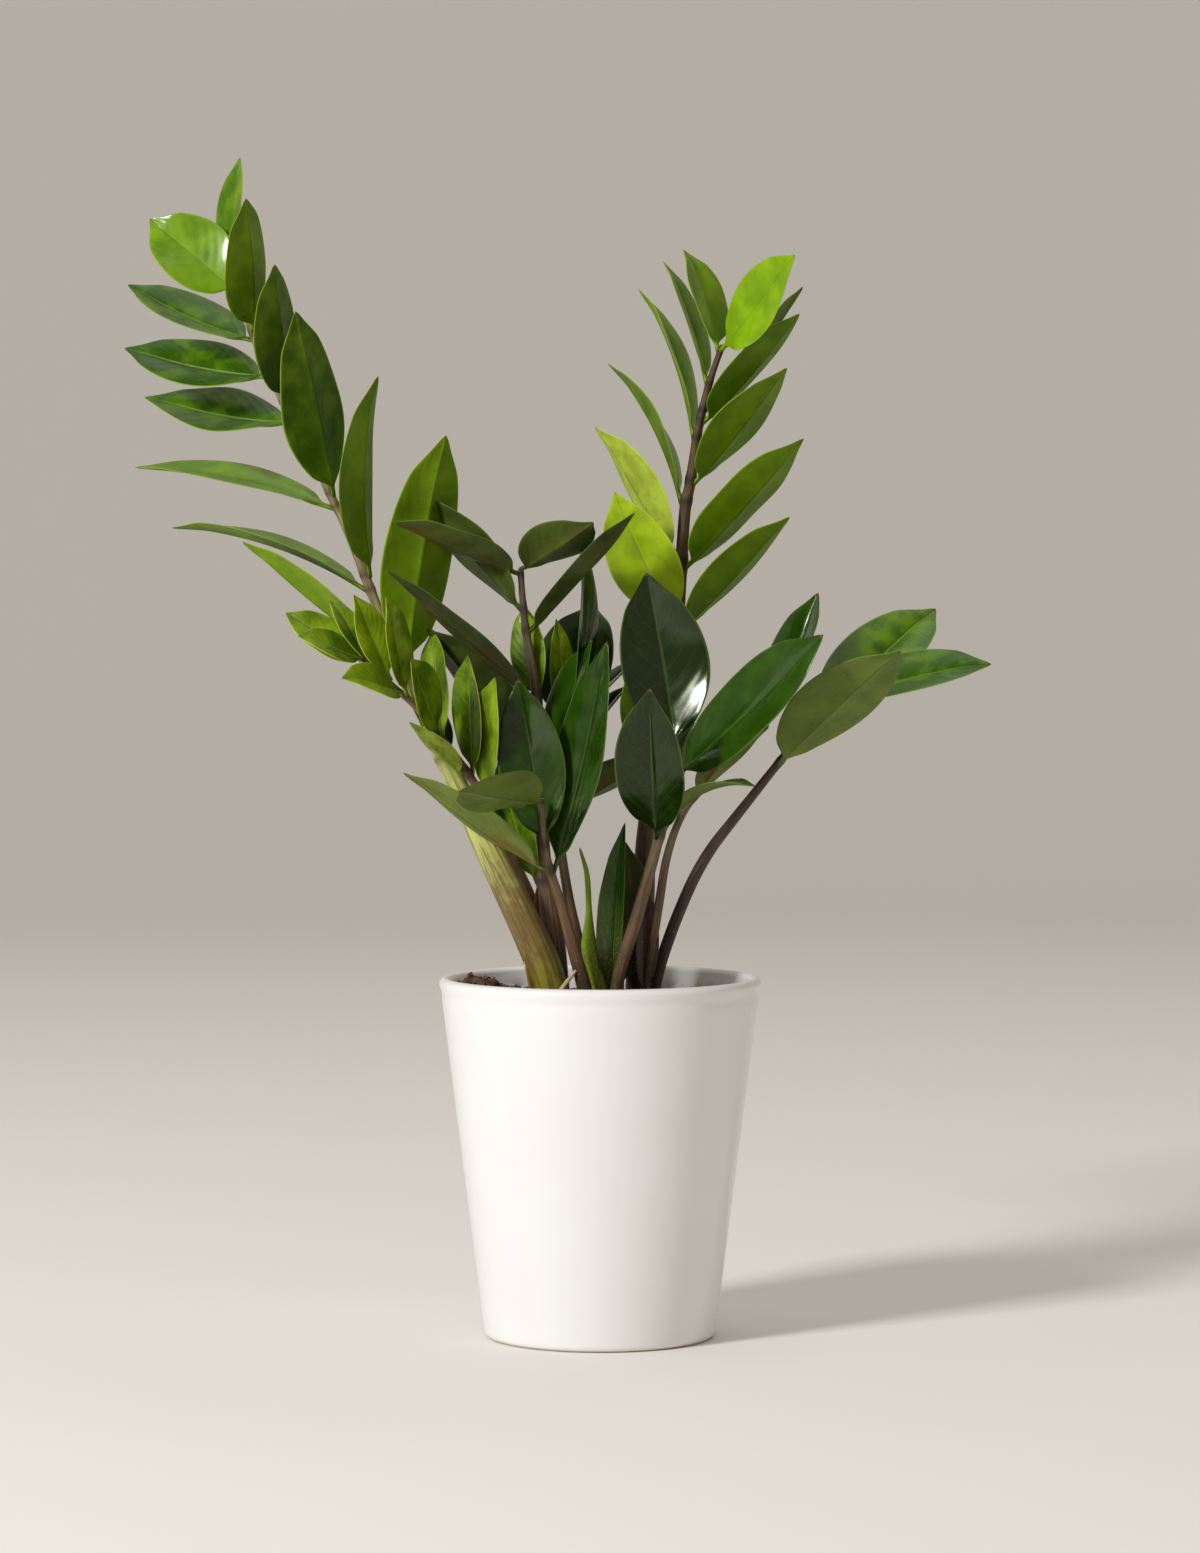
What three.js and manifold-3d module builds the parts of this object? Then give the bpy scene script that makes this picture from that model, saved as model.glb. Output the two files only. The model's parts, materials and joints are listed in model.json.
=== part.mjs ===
// Potted ZZ plant: a white glazed pot, potting mix, nine leafy stalks and their leaflets.
// Millimetres, +Z up. The origin is the centre of the pot's flat underside and the front is -Y.
import * as THREE from 'three';
import { mergeVertices } from 'three/addons/utils/BufferGeometryUtils.js';
import Module from 'manifold-3d';

const wasm = await Module();
wasm.setup();

// ---- driving dimensions ----
const POT_HEIGHT = 150;
const RIM_RADIUS = 67; // outside, at the top
const FOOT_RADIUS = 48; // outside, at the bottom
const WALL = 5.2;
const POT_FLOOR = 7;
const RIM_ROUND = WALL / 2;
const FOOT_ROUND = 3;
const ROUND_SIDES = 48;

const SOIL_HEIGHT = 139; // average, above the table
const SOIL_TILT = 0.055; // the mix is banked up towards -X
const SOIL_LUMPS = 1.1; // height of its unevenness
const LUMP_SIZE = 10;
// Heaps of loose mix: [x, y, height, spread].
const HEAPS = [[-52, 16, 5.5, 13], [-29, -2, 5, 7], [29, 0, 7, 7]];
const SOIL_RINGS = [0.98, 0.8, 0.6, 0.4, 0.2]; // share of the soil's radius
const GAP = 0.35; // clearance between neighbouring solids

const STALK_SIDES = 8;
const STALK_RINGS = 15;
const STALK_END = 0.35; // how far a stalk's ends bulge, in radii

const LEAF_THICKNESS = 1.4;
const LEAF_BOW = -0.02; // how far a blade arches towards its upper face, in leaf lengths
const LEAF_FOLD = 0.22; // rise of each margin above the midrib, in half widths
const PETIOLE_GAP = 0.5;
// A leaflet's outline: distance from the base, and half width, both as shares.
const LEAF_STATIONS = [0, 0.04, 0.12, 0.24, 0.37, 0.5, 0.64, 0.78, 0.9, 1];
const LEAF_OUTLINE = [0, 0.08, 0.44, 0.79, 0.97, 1, 0.89, 0.64, 0.31, 0];

// ---- materials ----
const finish = (color, roughness) => new THREE.MeshStandardMaterial({ color, roughness, metalness: 0 });
const GLAZE = finish(0xf2ece7, 0.2);
const MIX = finish(0x4a3423, 0.95);
const GREEN_STALK = finish(0xb0b06a, 0.5);
const YOUNG_STALK = finish(0x967364, 0.5);
const DARK_STALK = finish(0x453631, 0.5);
const GREY_STALK = finish(0x5f553e, 0.5);
const YOUNG_LEAF = finish(0x8fae2c, 0.35);
const GREEN_LEAF = finish(0x5f8f26, 0.3);
const DEEP_LEAF = finish(0x3a5f1d, 0.25);

// ---- the nine fronds ----
// stalk: points [x, y, z, diameter] from inside the mix to the tip.
// leaves: [height of the joint on the stalk, tip [x, y, z], width, roll, bow], where roll turns
// the upper face about the leaflet's own line: 0 faces the front and 180 faces the back.
const FRONDS = [
  {
    name: 'left_frond', stalkFinish: GREEN_STALK, leafFinish: GREEN_LEAF,
    stalk: [
      [-16, -12, 120, 11], [-21, -11, 148, 14.5], [-27, -10, 164, 14.5], [-44, -6, 199, 12],
      [-64, -1, 240, 7.5], [-85, 7, 284, 4.6], [-102, 9, 328, 3.8], [-111, 8, 348, 3.4],
      [-125, 4, 377, 3.2], [-140, 0, 406, 2.8], [-152, -3, 444, 2.2],
    ],
    leaves: [
      [442, [-151, 23, 492], 20, -50, 0.03],
      [435.5, [-187, 6, 465], 31, 2, -0.02],
      [419, [-145, -34, 470], 32, -125, -0.04],
      [415, [-197, 18, 439], 32, 60, -0.05],
      [389, [-134, -24, 444], 33, -123],
      [400, [-199, 22, 413], 33, 58, -0.05],
      [381, [-191, 26, 393], 33, 62, -0.05],
      [351, [-125, -22, 425], 35, -134, -0.02],
      [346, [-196, 30, 363], 34, 76, 0.03],
      [317, [-92, -20, 399], 33, -119, 0.05],
      [312, [-181, 36, 338], 34, 84, 0.06],
      [279, [-64, -10, 375], 36, -150, 0.02],
      [284, [-148, 8, 332], 32, 113, -0.03],
    ],
  },
  {
    name: 'arching_frond', stalkFinish: YOUNG_STALK, leafFinish: YOUNG_LEAF,
    stalk: [
      [-16, 16, 120, 5], [-18, 15, 146, 5], [-30, 8, 185, 4.6], [-39, 2, 204, 4.2],
      [-47, -4, 222, 3.8], [-56, -10, 237, 3.4], [-64, -14, 248, 3], [-78, -20, 265, 2.4],
      [-99, -26, 284, 1.8],
    ],
    leaves: [
      [282, [-129, -20, 302], 18, 28],
      [274, [-100, -32, 309], 17, 48],
      [268, [-86, -36, 308], 16, 55],
      [253, [-76, -54, 283], 20, 48],
      [250, [-71, 11, 295], 18, -40],
      [235, [-55, -24, 284], 19, -45],
    ],
  },
  {
    name: 'right_frond', stalkFinish: DARK_STALK, leafFinish: GREEN_LEAF,
    stalk: [
      [15, 14, 120, 10], [16, 14, 146, 11.2], [18, 15, 181, 9.6], [20, 17, 215, 8],
      [26, 20, 252, 6.6], [32, 22, 286, 5.8], [35, 22, 340, 5], [38, 20, 357, 4.4],
      [43, 16, 388, 3.2], [51, 11, 413, 2.4],
    ],
    leaves: [
      [411, [36, 22, 454], 24, 58, 0.03],
      [412, [78, -34, 447], 27, -44, -0.04],
      [386, [85, 36, 439], 26, -108, -0.04],
      [382, [82, 4, 426], 31, -119, -0.04],
      [357, [77, -4, 403], 34, -119, -0.02],
      [321, [84, -2, 374], 34, -121, -0.02],
      [296, [78, 0, 342], 33, -118, -0.02],
      [348, [4, 34, 407], 32, 83, 0.06],
      [323, [-1, 34, 380], 32, 109, 0.01],
      [299, [6, 0, 351], 30, -18, 0.01],
    ],
  },
  {
    name: 'middle_frond', stalkFinish: GREY_STALK, leafFinish: DEEP_LEAF,
    stalk: [
      [-15, 2, 120, 9], [-18, 3, 146, 10.4], [-20, 3, 169, 10], [-23, 3, 190, 7],
      [-25, 2, 232, 4.8], [-26, 0, 265, 4.2], [-31, -2, 296, 3.2], [-33, -3, 320, 2.4],
    ],
    leaves: [
      [318, [-84, -30, 340], 30, 116],
      [320, [-3, -26, 339], 31, -122, -0.04],
      [294, [14, -22, 343], 28, -107, -0.02],
      [267, [-87, -30, 320], 30, 106],
    ],
  },
  {
    name: 'front_frond', stalkFinish: GREY_STALK, leafFinish: DEEP_LEAF,
    stalk: [
      [-2, -20, 120, 5], [-7, -20, 148, 5.4], [-12, -22, 167, 5], [-16, -24, 182, 4.2],
      [-22, -28, 202, 3.2], [-24, -30, 225, 2.4],
    ],
    leaves: [
      [197, [-80, -30, 237], 30, 107, -0.03],
      [226, [-56, -90, 232], 29, 134, -0.02],
      [207, [-34, -21, 274], 28, -14, -0.05],
      [196, [2, -27, 290], 29, -46, -0.03],
    ],
  },
  {
    name: 'inner_frond', stalkFinish: GREY_STALK, leafFinish: DEEP_LEAF,
    stalk: [
      [-2, 10, 120, 5], [-5, 9, 146, 5], [-13, 8, 182, 4.2], [-17, 8, 213, 3.6],
      [-15, 12, 242, 3], [-16, 16, 257, 2.4],
    ],
    leaves: [
      [255, [-3, 32, 305], 35, -20, 0.05],
      [221, [-4, -8, 291], 29, -63, 0.05],
      [220, [23, -2, 243], 30, -115],
    ],
  },
  {
    name: 'broad_frond', stalkFinish: GREY_STALK, leafFinish: DEEP_LEAF,
    stalk: [
      [5, -16, 120, 5.2], [7, -16, 148, 5.4], [16, -18, 179, 5.2], [25, -20, 212, 4.2],
      [33, -23, 246, 2.6],
    ],
    leaves: [
      [247, [19, -16, 318], 37, -9, -0.05],
      [236, [89, -60, 293], 33, -35, -0.04],
      [210, [20, -60, 271], 30, -22, 0.02],
      [213, [39, 16, 258], 28, -130, 0.03],
    ],
  },
  {
    name: 'rear_frond', stalkFinish: GREY_STALK, leafFinish: DEEP_LEAF,
    stalk: [
      [13, -4, 120, 4], [19, -4, 147, 4], [24, -4, 178, 3.8], [29, -4, 205, 3.4],
      [36, -4, 221, 3], [43, -3, 229, 2.8],
      [58, 2, 243, 2.6], [70, 6, 255, 2.2],
    ],
    leaves: [
      [225, [74, -24, 267], 20, -128, 0.02],
      [254, [91, 18, 310], 34, -57, -0.04],
    ],
  },
  {
    name: 'outer_frond', stalkFinish: DARK_STALK, leafFinish: DEEP_LEAF,
    stalk: [
      [20, 6, 120, 5], [23, 6, 146, 5], [30, 6, 169, 5], [43, 4, 198, 4.8], [60, 1, 221, 4],
      [78, -3, 244, 3.2], [97, -3, 267, 2.2],
    ],
    leaves: [
      [240, [121, -58, 287], 35, -137, 0.01],
      [266, [162, -6, 281], 33, -57, 0.02],
      [260, [143, 50, 304], 33, -32, 0],
    ],
  },
];

// ---- shared shapes ----

// Merges shared vertices and drops the empty triangles that a pole or a seam leaves.
function closed(geometry) {
  geometry.deleteAttribute('normal');
  geometry.deleteAttribute('uv');
  const merged = mergeVertices(geometry);
  const kept = [];
  const index = merged.index.array;
  for (let i = 0; i < index.length; i += 3) {
    const [a, b, c] = index.slice(i, i + 3);
    if (a !== b && b !== c && c !== a) kept.push(a, b, c);
  }
  merged.setIndex(kept);
  return merged;
}

// A closed skin with a pole at each end: place(ring, corner) gives each vertex its position.
function skin(rings, corners, place) {
  const geometry = closed(new THREE.SphereGeometry(1, corners, rings));
  const position = geometry.attributes.position;
  for (let i = 0; i < position.count; i++) {
    const ring = Math.round((Math.acos(THREE.MathUtils.clamp(position.getY(i), -1, 1)) / Math.PI) * rings);
    const angle = Math.atan2(position.getZ(i), -position.getX(i));
    const corner = Math.round((angle / (2 * Math.PI)) * corners + corners) % corners;
    position.setXYZ(i, ...place(ring, corner).toArray());
  }
  return geometry;
}

// ---- pot ----

function potRadius(height) {
  return FOOT_RADIUS + ((RIM_RADIUS - FOOT_RADIUS) * height) / POT_HEIGHT;
}

function arc(x, y, radius, from, to, steps) {
  return new THREE.Path().absarc(x, y, radius, from, to, from > to).getPoints(steps);
}

// A turned shape about the Z axis.
function turned(profile) {
  return closed(new THREE.LatheGeometry(profile, ROUND_SIDES).rotateX(Math.PI / 2));
}

function potGeometry() {
  const foot = potRadius(FOOT_ROUND) - FOOT_ROUND;
  const rim = RIM_RADIUS - RIM_ROUND;
  const crest = POT_HEIGHT - RIM_ROUND;
  const fillet = POT_FLOOR + FOOT_ROUND; // height at which the inside wall meets its rounded foot
  return turned([
    new THREE.Vector2(0, 0),
    ...arc(foot, FOOT_ROUND, FOOT_ROUND, -Math.PI / 2, 0, 3),
    ...arc(rim, crest, RIM_ROUND, 0, Math.PI, 6),
    ...arc(potRadius(fillet) - WALL - FOOT_ROUND, fillet, FOOT_ROUND, 0, -Math.PI / 2, 3),
    new THREE.Vector2(0, POT_FLOOR),
  ]);
}

// ---- stalks ----

// The line of a stalk, with its diameter at each place.
class StalkLine {
  constructor(points) {
    this.curve = new THREE.CatmullRomCurve3(points.map(([x, y, z]) => new THREE.Vector3(x, y, z)));
    this.diameters = points.map((point) => point[3]);
  }

  radius(share) {
    const place = share * (this.diameters.length - 1);
    const before = Math.min(Math.floor(place), this.diameters.length - 2);
    return THREE.MathUtils.lerp(this.diameters[before], this.diameters[before + 1], place - before) / 2;
  }

  // The share of the line at which it reaches a height.
  shareAt(height) {
    let low = 0;
    let high = 1;
    while (high - low > 1e-4) {
      const middle = (low + high) / 2;
      if (this.curve.getPoint(middle).z < height) low = middle;
      else high = middle;
    }
    return low;
  }
}

function stalkGeometry(line, extra = 0) {
  return skin(STALK_RINGS, STALK_SIDES, (ring, corner) => {
    const share = THREE.MathUtils.clamp((ring - 1) / (STALK_RINGS - 2), 0, 1);
    const centre = line.curve.getPoint(share);
    const along = line.curve.getTangent(share);
    const radius = line.radius(share) + extra;
    if (ring === 0) return centre.addScaledVector(along, -radius * STALK_END);
    if (ring === STALK_RINGS) return centre.addScaledVector(along, radius * STALK_END);
    const side = new THREE.Vector3(0, 1, 0).cross(along).normalize();
    const front = new THREE.Vector3().crossVectors(along, side);
    const angle = (-2 * Math.PI * corner) / STALK_SIDES;
    return centre.addScaledVector(side, radius * Math.cos(angle)).addScaledVector(front, radius * Math.sin(angle));
  });
}

// ---- leaflets ----

// A leaflet's base stands just off its stalk, on the side that its tip is on.
function leafBase(line, height, tip) {
  const share = line.shareAt(height);
  const centre = line.curve.getPoint(share);
  const along = line.curve.getTangent(share);
  const out = tip.clone().sub(centre);
  out.addScaledVector(along, -out.dot(along)).normalize();
  return centre.addScaledVector(out, line.radius(share) + PETIOLE_GAP);
}

function leafGeometry(base, tip, width, roll, bow = LEAF_BOW) {
  const along = tip.clone().sub(base);
  const length = along.length();
  along.normalize();
  const front = new THREE.Vector3(0, -1, 0);
  front.addScaledVector(along, -front.dot(along)).normalize();
  const upper = front.applyAxisAngle(along, THREE.MathUtils.degToRad(roll));
  const crown = base.clone().lerp(tip, 0.5).addScaledVector(upper, 2 * bow * length);
  const midrib = new THREE.QuadraticBezierCurve3(base, crown, tip);
  const rings = LEAF_STATIONS.length - 1;
  return skin(rings, 4, (ring, corner) => {
    const share = LEAF_STATIONS[ring];
    const point = midrib.getPoint(share);
    const heading = midrib.getTangent(share);
    const side = new THREE.Vector3().crossVectors(heading, upper).normalize();
    const lift = new THREE.Vector3().crossVectors(side, heading);
    const half = (LEAF_OUTLINE[ring] * width) / 2;
    const thick = LEAF_THICKNESS * Math.min(1, 0.5 + LEAF_OUTLINE[ring]) * Math.sign(half);
    const across = [half, 0, -half, 0][corner];
    const raised = [LEAF_FOLD * half, thick / 2, LEAF_FOLD * half, -thick / 2][corner];
    return point.addScaledVector(side, across).addScaledVector(lift, raised);
  });
}

// ---- potting mix ----

function soilSurface(x, y) {
  const lumps = SOIL_LUMPS * Math.sin(x / LUMP_SIZE + 1) * Math.cos(y / LUMP_SIZE);
  const heaped = HEAPS.map(([cx, cy, rise, spread]) => rise * Math.exp(-(((x - cx) ** 2 + (y - cy) ** 2) / spread ** 2)));
  return SOIL_HEIGHT - SOIL_TILT * x + lumps + heaped.reduce((a, b) => a + b);
}

function solid(geometry) {
  return new wasm.Manifold(new wasm.Mesh({
    numProp: 3,
    vertProperties: new Float32Array(geometry.attributes.position.array),
    triVerts: new Uint32Array(geometry.index.array),
  }));
}

function geometryOf(manifold) {
  const mesh = manifold.getMesh();
  const geometry = new THREE.BufferGeometry();
  geometry.setAttribute('position', new THREE.BufferAttribute(mesh.vertProperties, 3));
  geometry.setIndex(new THREE.BufferAttribute(mesh.triVerts, 1));
  return geometry;
}

// Potting mix fills the pot up to a slightly banked surface, and every stalk has its own hole.
function soilGeometry(stalkLines) {
  const bottom = POT_FLOOR + GAP;
  const side = (height) => potRadius(height) - WALL - GAP;
  const top = side(SOIL_HEIGHT);
  const geometry = turned([
    new THREE.Vector2(0, bottom),
    new THREE.Vector2(side(bottom) - FOOT_ROUND, bottom),
    new THREE.Vector2(side(bottom + FOOT_ROUND), bottom + FOOT_ROUND),
    new THREE.Vector2(top, SOIL_HEIGHT),
    ...SOIL_RINGS.map((share) => new THREE.Vector2(top * share, SOIL_HEIGHT)),
    new THREE.Vector2(0, SOIL_HEIGHT),
  ]);
  const position = geometry.attributes.position;
  for (let i = 0; i < position.count; i++) {
    if (position.getZ(i) < SOIL_HEIGHT - 1) continue;
    const radius = Math.hypot(position.getX(i), position.getY(i));
    const height = soilSurface(position.getX(i), position.getY(i));
    const fit = radius > top - 0.1 ? side(height) / radius : 1;
    position.setXYZ(i, position.getX(i) * fit, position.getY(i) * fit, height);
  }
  let soil = solid(geometry);
  for (const line of stalkLines) soil = soil.subtract(solid(stalkGeometry(line, GAP)));
  return geometryOf(soil);
}

// ---- the plant in its pot ----

function piece(name, geometry, material) {
  const mesh = new THREE.Mesh(geometry, material);
  mesh.name = name;
  return mesh;
}

function frondGroup(frond, line) {
  const group = new THREE.Group();
  group.add(piece(`${frond.name}_stalk`, stalkGeometry(line), frond.stalkFinish));
  frond.leaves.forEach(([height, point, width, roll, bow], i) => {
    const tip = new THREE.Vector3(...point);
    const blade = leafGeometry(leafBase(line, height, tip), tip, width, roll, bow);
    const number = String(i + 1).padStart(2, '0');
    group.add(piece(`${frond.name}_leaf_${number}`, blade, frond.leafFinish));
  });
  return group;
}

const lines = FRONDS.map((frond) => new StalkLine(frond.stalk));
const plant = new THREE.Group();
plant.add(piece('pot', potGeometry(), GLAZE));
plant.add(piece('potting_mix', soilGeometry(lines), MIX));
FRONDS.forEach((frond, i) => plant.add(frondGroup(frond, lines[i])));

export default plant;
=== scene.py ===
# %% [markdown]
# # A ZZ plant in a white glazed pot
# A ZZ plant sends up thick stalks from a buried root stock. Each stalk with its two rows of leaflets
# is one big compound leaf, called a frond here. The young fronds are lime green and the old ones are
# dark and very glossy. The CAD model already says where every stalk and leaflet is, so this file
# reads those places back from the loaded model and grows a fine surface round each of them.

# %% Load the model and the libraries
import json
import math
import random

import bmesh
import bpy
import numpy as np
from mathutils import Matrix, Vector
from mathutils.bvhtree import BVHTree


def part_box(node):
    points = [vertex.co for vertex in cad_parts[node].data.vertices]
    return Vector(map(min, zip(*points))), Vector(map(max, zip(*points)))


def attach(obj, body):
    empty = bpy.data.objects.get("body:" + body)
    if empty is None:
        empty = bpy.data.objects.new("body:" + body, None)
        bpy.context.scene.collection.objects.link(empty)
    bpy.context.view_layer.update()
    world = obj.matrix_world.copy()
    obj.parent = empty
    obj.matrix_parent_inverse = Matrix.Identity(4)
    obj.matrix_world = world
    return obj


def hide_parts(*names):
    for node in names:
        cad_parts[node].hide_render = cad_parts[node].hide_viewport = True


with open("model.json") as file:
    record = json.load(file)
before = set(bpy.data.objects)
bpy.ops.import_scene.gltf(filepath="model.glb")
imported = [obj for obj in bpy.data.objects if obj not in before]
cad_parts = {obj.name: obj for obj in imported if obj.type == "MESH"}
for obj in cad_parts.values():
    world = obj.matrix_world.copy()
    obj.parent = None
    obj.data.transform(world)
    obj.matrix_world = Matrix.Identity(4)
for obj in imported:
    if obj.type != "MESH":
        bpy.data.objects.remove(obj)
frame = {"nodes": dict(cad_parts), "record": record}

MM = 0.001  # Blender works in metres, and the sizes below are easier to read in millimetres
BODY = "root"  # nothing on this plant is hinged, so there is one body
SLOT_OF = {row["node"]: row["material_slot"] for row in frame["record"]["subparts"]}
# How light a frond's greens are within its finish: partly its own green, partly painted light and shade for
# how brightly the frond stands lit. A frond that isn't here is in the middle.
FROND_TONE_AND_LIGHT = {"left_frond": 0.42, "right_frond": 0.75, "arching_frond": 0.35, "middle_frond": 0.35,
              "broad_frond": 0.3, "front_frond": 0.6, "outer_frond": 0.6}
# Leaflets painted clearly lighter (up to 1) or darker (down to 0) than their frond: partly their own green,
# partly painted light on lit leaflets and painted shade on shaded ones.
LEAF_TONE_AND_LIGHT = {
    "left_frond_leaf_02": 0.65, "left_frond_leaf_04": 0.18, "left_frond_leaf_06": 0.08,
    "left_frond_leaf_08": 0.25, "left_frond_leaf_12": 0.9, "left_frond_leaf_13": 1.0,
    "right_frond_leaf_02": 1.0, "right_frond_leaf_09": 0.9, "right_frond_leaf_10": 1.0,
    "broad_frond_leaf_01": 0.0, "broad_frond_leaf_02": 0.7, "broad_frond_leaf_03": 0.0,
    "outer_frond_leaf_01": 0.95, "outer_frond_leaf_02": 0.1, "outer_frond_leaf_03": 0.25,
    "arching_frond_leaf_06": 0.0, "middle_frond_leaf_04": 0.0, "front_frond_leaf_01": 1.0,
    "front_frond_leaf_02": 0.9, "broad_frond_small_blade_17": 1.0, "dark_shoot": 0.0,
}
# Leaflets that fold or twist in their own way, so that one half catches the light.
HABITS = {
    "broad_frond_leaf_01": {"fold": 0.36, "twist": math.radians(-16), "puff": 0.02},
    "left_frond_leaf_02": {"fold": 0.30, "twist": math.radians(-17), "puff": 0.02},
}
# How much more wax a leaflet has than the finish gives it.
WAX = {"left_frond_leaf_02": 0.5}
# Old leaflets that have turned rusty brown underneath, and how far.
RUST = {"middle_frond_leaf_01": 0.7, "middle_frond_leaf_02": 0.4, "middle_frond_leaf_03": 0.3,
        "middle_frond_leaf_04": 0.9, "rear_frond_leaf_01": 1.0, "inner_frond_leaf_03": 1.0,
        "front_frond_leaf_01": 0.7, "dark_shoot": 1.0}
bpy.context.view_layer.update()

# %% [markdown]
# ## The camera and the studio
# A long lens from two metres away keeps the pot's sides straight. The camera stands a little above
# the rim and looks slightly down, so that the rim shows as a thin ellipse. The floor is a shallow
# bowl: flat under the pot and curving up far away all round, which hides the horizon in every view.

# %% Camera
CAMERA_DISTANCE = 1.971
CAMERA_HEIGHT = 0.310
CAMERA_TILT = math.radians(2.225)
LENS = 110


def add_object(name, data):
    """Makes an object for a mesh, a lamp or a camera, and puts it in the scene."""
    made = bpy.data.objects.new(name, data)
    bpy.context.scene.collection.objects.link(made)
    return made


camera_data = bpy.data.cameras.new("camera")
camera_data.lens = LENS
camera = add_object("camera", camera_data)
camera.location = (0, -CAMERA_DISTANCE, CAMERA_HEIGHT)
camera.rotation_euler = (math.pi / 2 - CAMERA_TILT, 0, 0)
bpy.context.scene.camera = camera
print("camera", LENS, "mm lens,", CAMERA_DISTANCE, "m in front")


# %% Helpers for node trees
def add_node(tree, kind, inputs=None, **settings):
    """Adds a node. An input is a plain value, or an output socket that is then linked to it."""
    made = tree.nodes.new(kind)
    for name, value in settings.items():
        setattr(made, name, value)
    for key, value in (inputs or {}).items():
        if isinstance(value, bpy.types.NodeSocket):
            tree.links.new(value, made.inputs[key])
        else:
            made.inputs[key].default_value = value
    return made


def calculate(tree, operation, *values):
    """A Math node on one to three values."""
    node = add_node(tree, "ShaderNodeMath", dict(enumerate(values)), operation=operation)
    return node.outputs[0]


def fade(tree, value, low, high, to_low=0.0, to_high=1.0):
    """A smooth step: to_low below low, to_high above high."""
    inputs = {0: value, 1: low, 2: high, 3: to_low, 4: to_high}
    return add_node(tree, "ShaderNodeMapRange", inputs, interpolation_type="SMOOTHSTEP").outputs[0]


def mix_colours(tree, factor, first, second, blend="MIX"):
    inputs = {0: factor, 6: first, 7: second}
    return add_node(tree, "ShaderNodeMix", inputs, data_type="RGBA", blend_type=blend).outputs[2]


def lay_over(tree, colour, other, mask, amount):
    """Lays another colour over a colour where the mask is, with amount as its strength."""
    return mix_colours(tree, calculate(tree, "MULTIPLY", mask, amount), colour, other)


def mix_values(tree, factor, first, second):
    return add_node(tree, "ShaderNodeMix", {0: factor, 2: first, 3: second}, data_type="FLOAT").outputs[0]


def attribute(tree, name, output="Fac"):
    return add_node(tree, "ShaderNodeAttribute", attribute_name=name).outputs[output]


def new_material(name):
    """A material with an empty tree, its Principled BSDF and its output."""
    material = bpy.data.materials.new(name)
    material.use_nodes = True
    tree = material.node_tree
    surface = tree.nodes["Principled BSDF"]
    return material, tree, surface


def rgb(red, green, blue):
    """Turns screen values from 0 to 255 into the linear colour that a shader wants."""
    channels = [value / 255 for value in (red, green, blue)]
    return (*[c / 12.92 if c <= 0.04045 else ((c + 0.055) / 1.055) ** 2.4 for c in channels], 1)


print("helpers ready")

# %% Floor and light
COVE_FLAT = 2.6  # radius of the flat part
COVE_RADIUS = 4.6
COVE_HEIGHT = 2.0
COVE_SIDES = 96
COVE_RINGS = 24


def make_cove():
    """A floor that curves up into a wall all round."""
    mesh = bpy.data.meshes.new("studio_floor")
    builder = bmesh.new()
    centre = builder.verts.new((0, 0, 0))
    rings = []
    for step in range(COVE_RINGS + 1):
        share = step / COVE_RINGS
        radius = COVE_FLAT + (COVE_RADIUS - COVE_FLAT) * math.sin(share * math.pi / 2)
        height = COVE_HEIGHT * (1 - math.cos(share * math.pi / 2))
        turns = [2 * math.pi * side / COVE_SIDES for side in range(COVE_SIDES)]
        rings.append([builder.verts.new((radius * math.cos(a), radius * math.sin(a), height)) for a in turns])
    for side in range(COVE_SIDES):
        after = (side + 1) % COVE_SIDES
        builder.faces.new((centre, rings[0][side], rings[0][after]))
        for inner, outer in zip(rings, rings[1:]):
            builder.faces.new((inner[side], outer[side], outer[after], inner[after]))
    builder.to_mesh(mesh)
    builder.free()
    mesh.shade_smooth()
    return add_object("studio_floor", mesh)


def add_softbox(name, location, target, size, power, colour):
    lamp = bpy.data.lights.new(name, "AREA")
    lamp.shape = "RECTANGLE"
    lamp.size, lamp.size_y = size
    lamp.energy = power
    lamp.color = colour
    box = add_object(name, lamp)
    box.location = location
    box.rotation_euler = (Vector(target) - Vector(location)).to_track_quat("-Z", "Y").to_euler()


floor_material, floor_tree, floor_surface = new_material("studio_floor")
floor_surface.inputs["Base Color"].default_value = rgb(240, 236, 231)
floor_surface.inputs["Roughness"].default_value = 0.9
cove = make_cove()
cove.data.materials.append(floor_material)

PLANT_MIDDLE = (0, 0, 0.27)
SOFTBOXES = [
    # name, place in metres, size, power in watts, colour
    ("key_light", (-1.9, -1.85, 1.60), (0.5, 0.6), 69, (0.97, 1.0, 1.01)),
    ("top_light", (0.3, 0.6, 2.6), (1.8, 1.8), 12, (1.0, 0.99, 0.97)),
]
FILL_STRENGTH = 0.385  # light from all round, which keeps the shadows soft
for name, location, size, power, colour in SOFTBOXES:
    add_softbox(name, location, PLANT_MIDDLE, size, power, colour)

world = bpy.data.worlds.new("studio")
bpy.context.scene.world = world
world.use_nodes = True
world.node_tree.nodes["Background"].inputs["Color"].default_value = rgb(244, 236, 226)
world.node_tree.nodes["Background"].inputs["Strength"].default_value = FILL_STRENGTH
bpy.context.scene.view_settings.view_transform = "Standard"
print("studio: one floor,", len(SOFTBOXES), "softboxes")

# %% [markdown]
# ## Reading the skeleton of the plant
# Every stalk and leaflet of the CAD model is a skin with a pole at each end and rings of corners in
# between. Walking outwards from a pole, one edge at a time, gives those rings back in order. A ring's
# middle is a point of the stalk or of the midrib, and its spread is the thickness or the width. So
# no list of places has to be kept twice.


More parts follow.
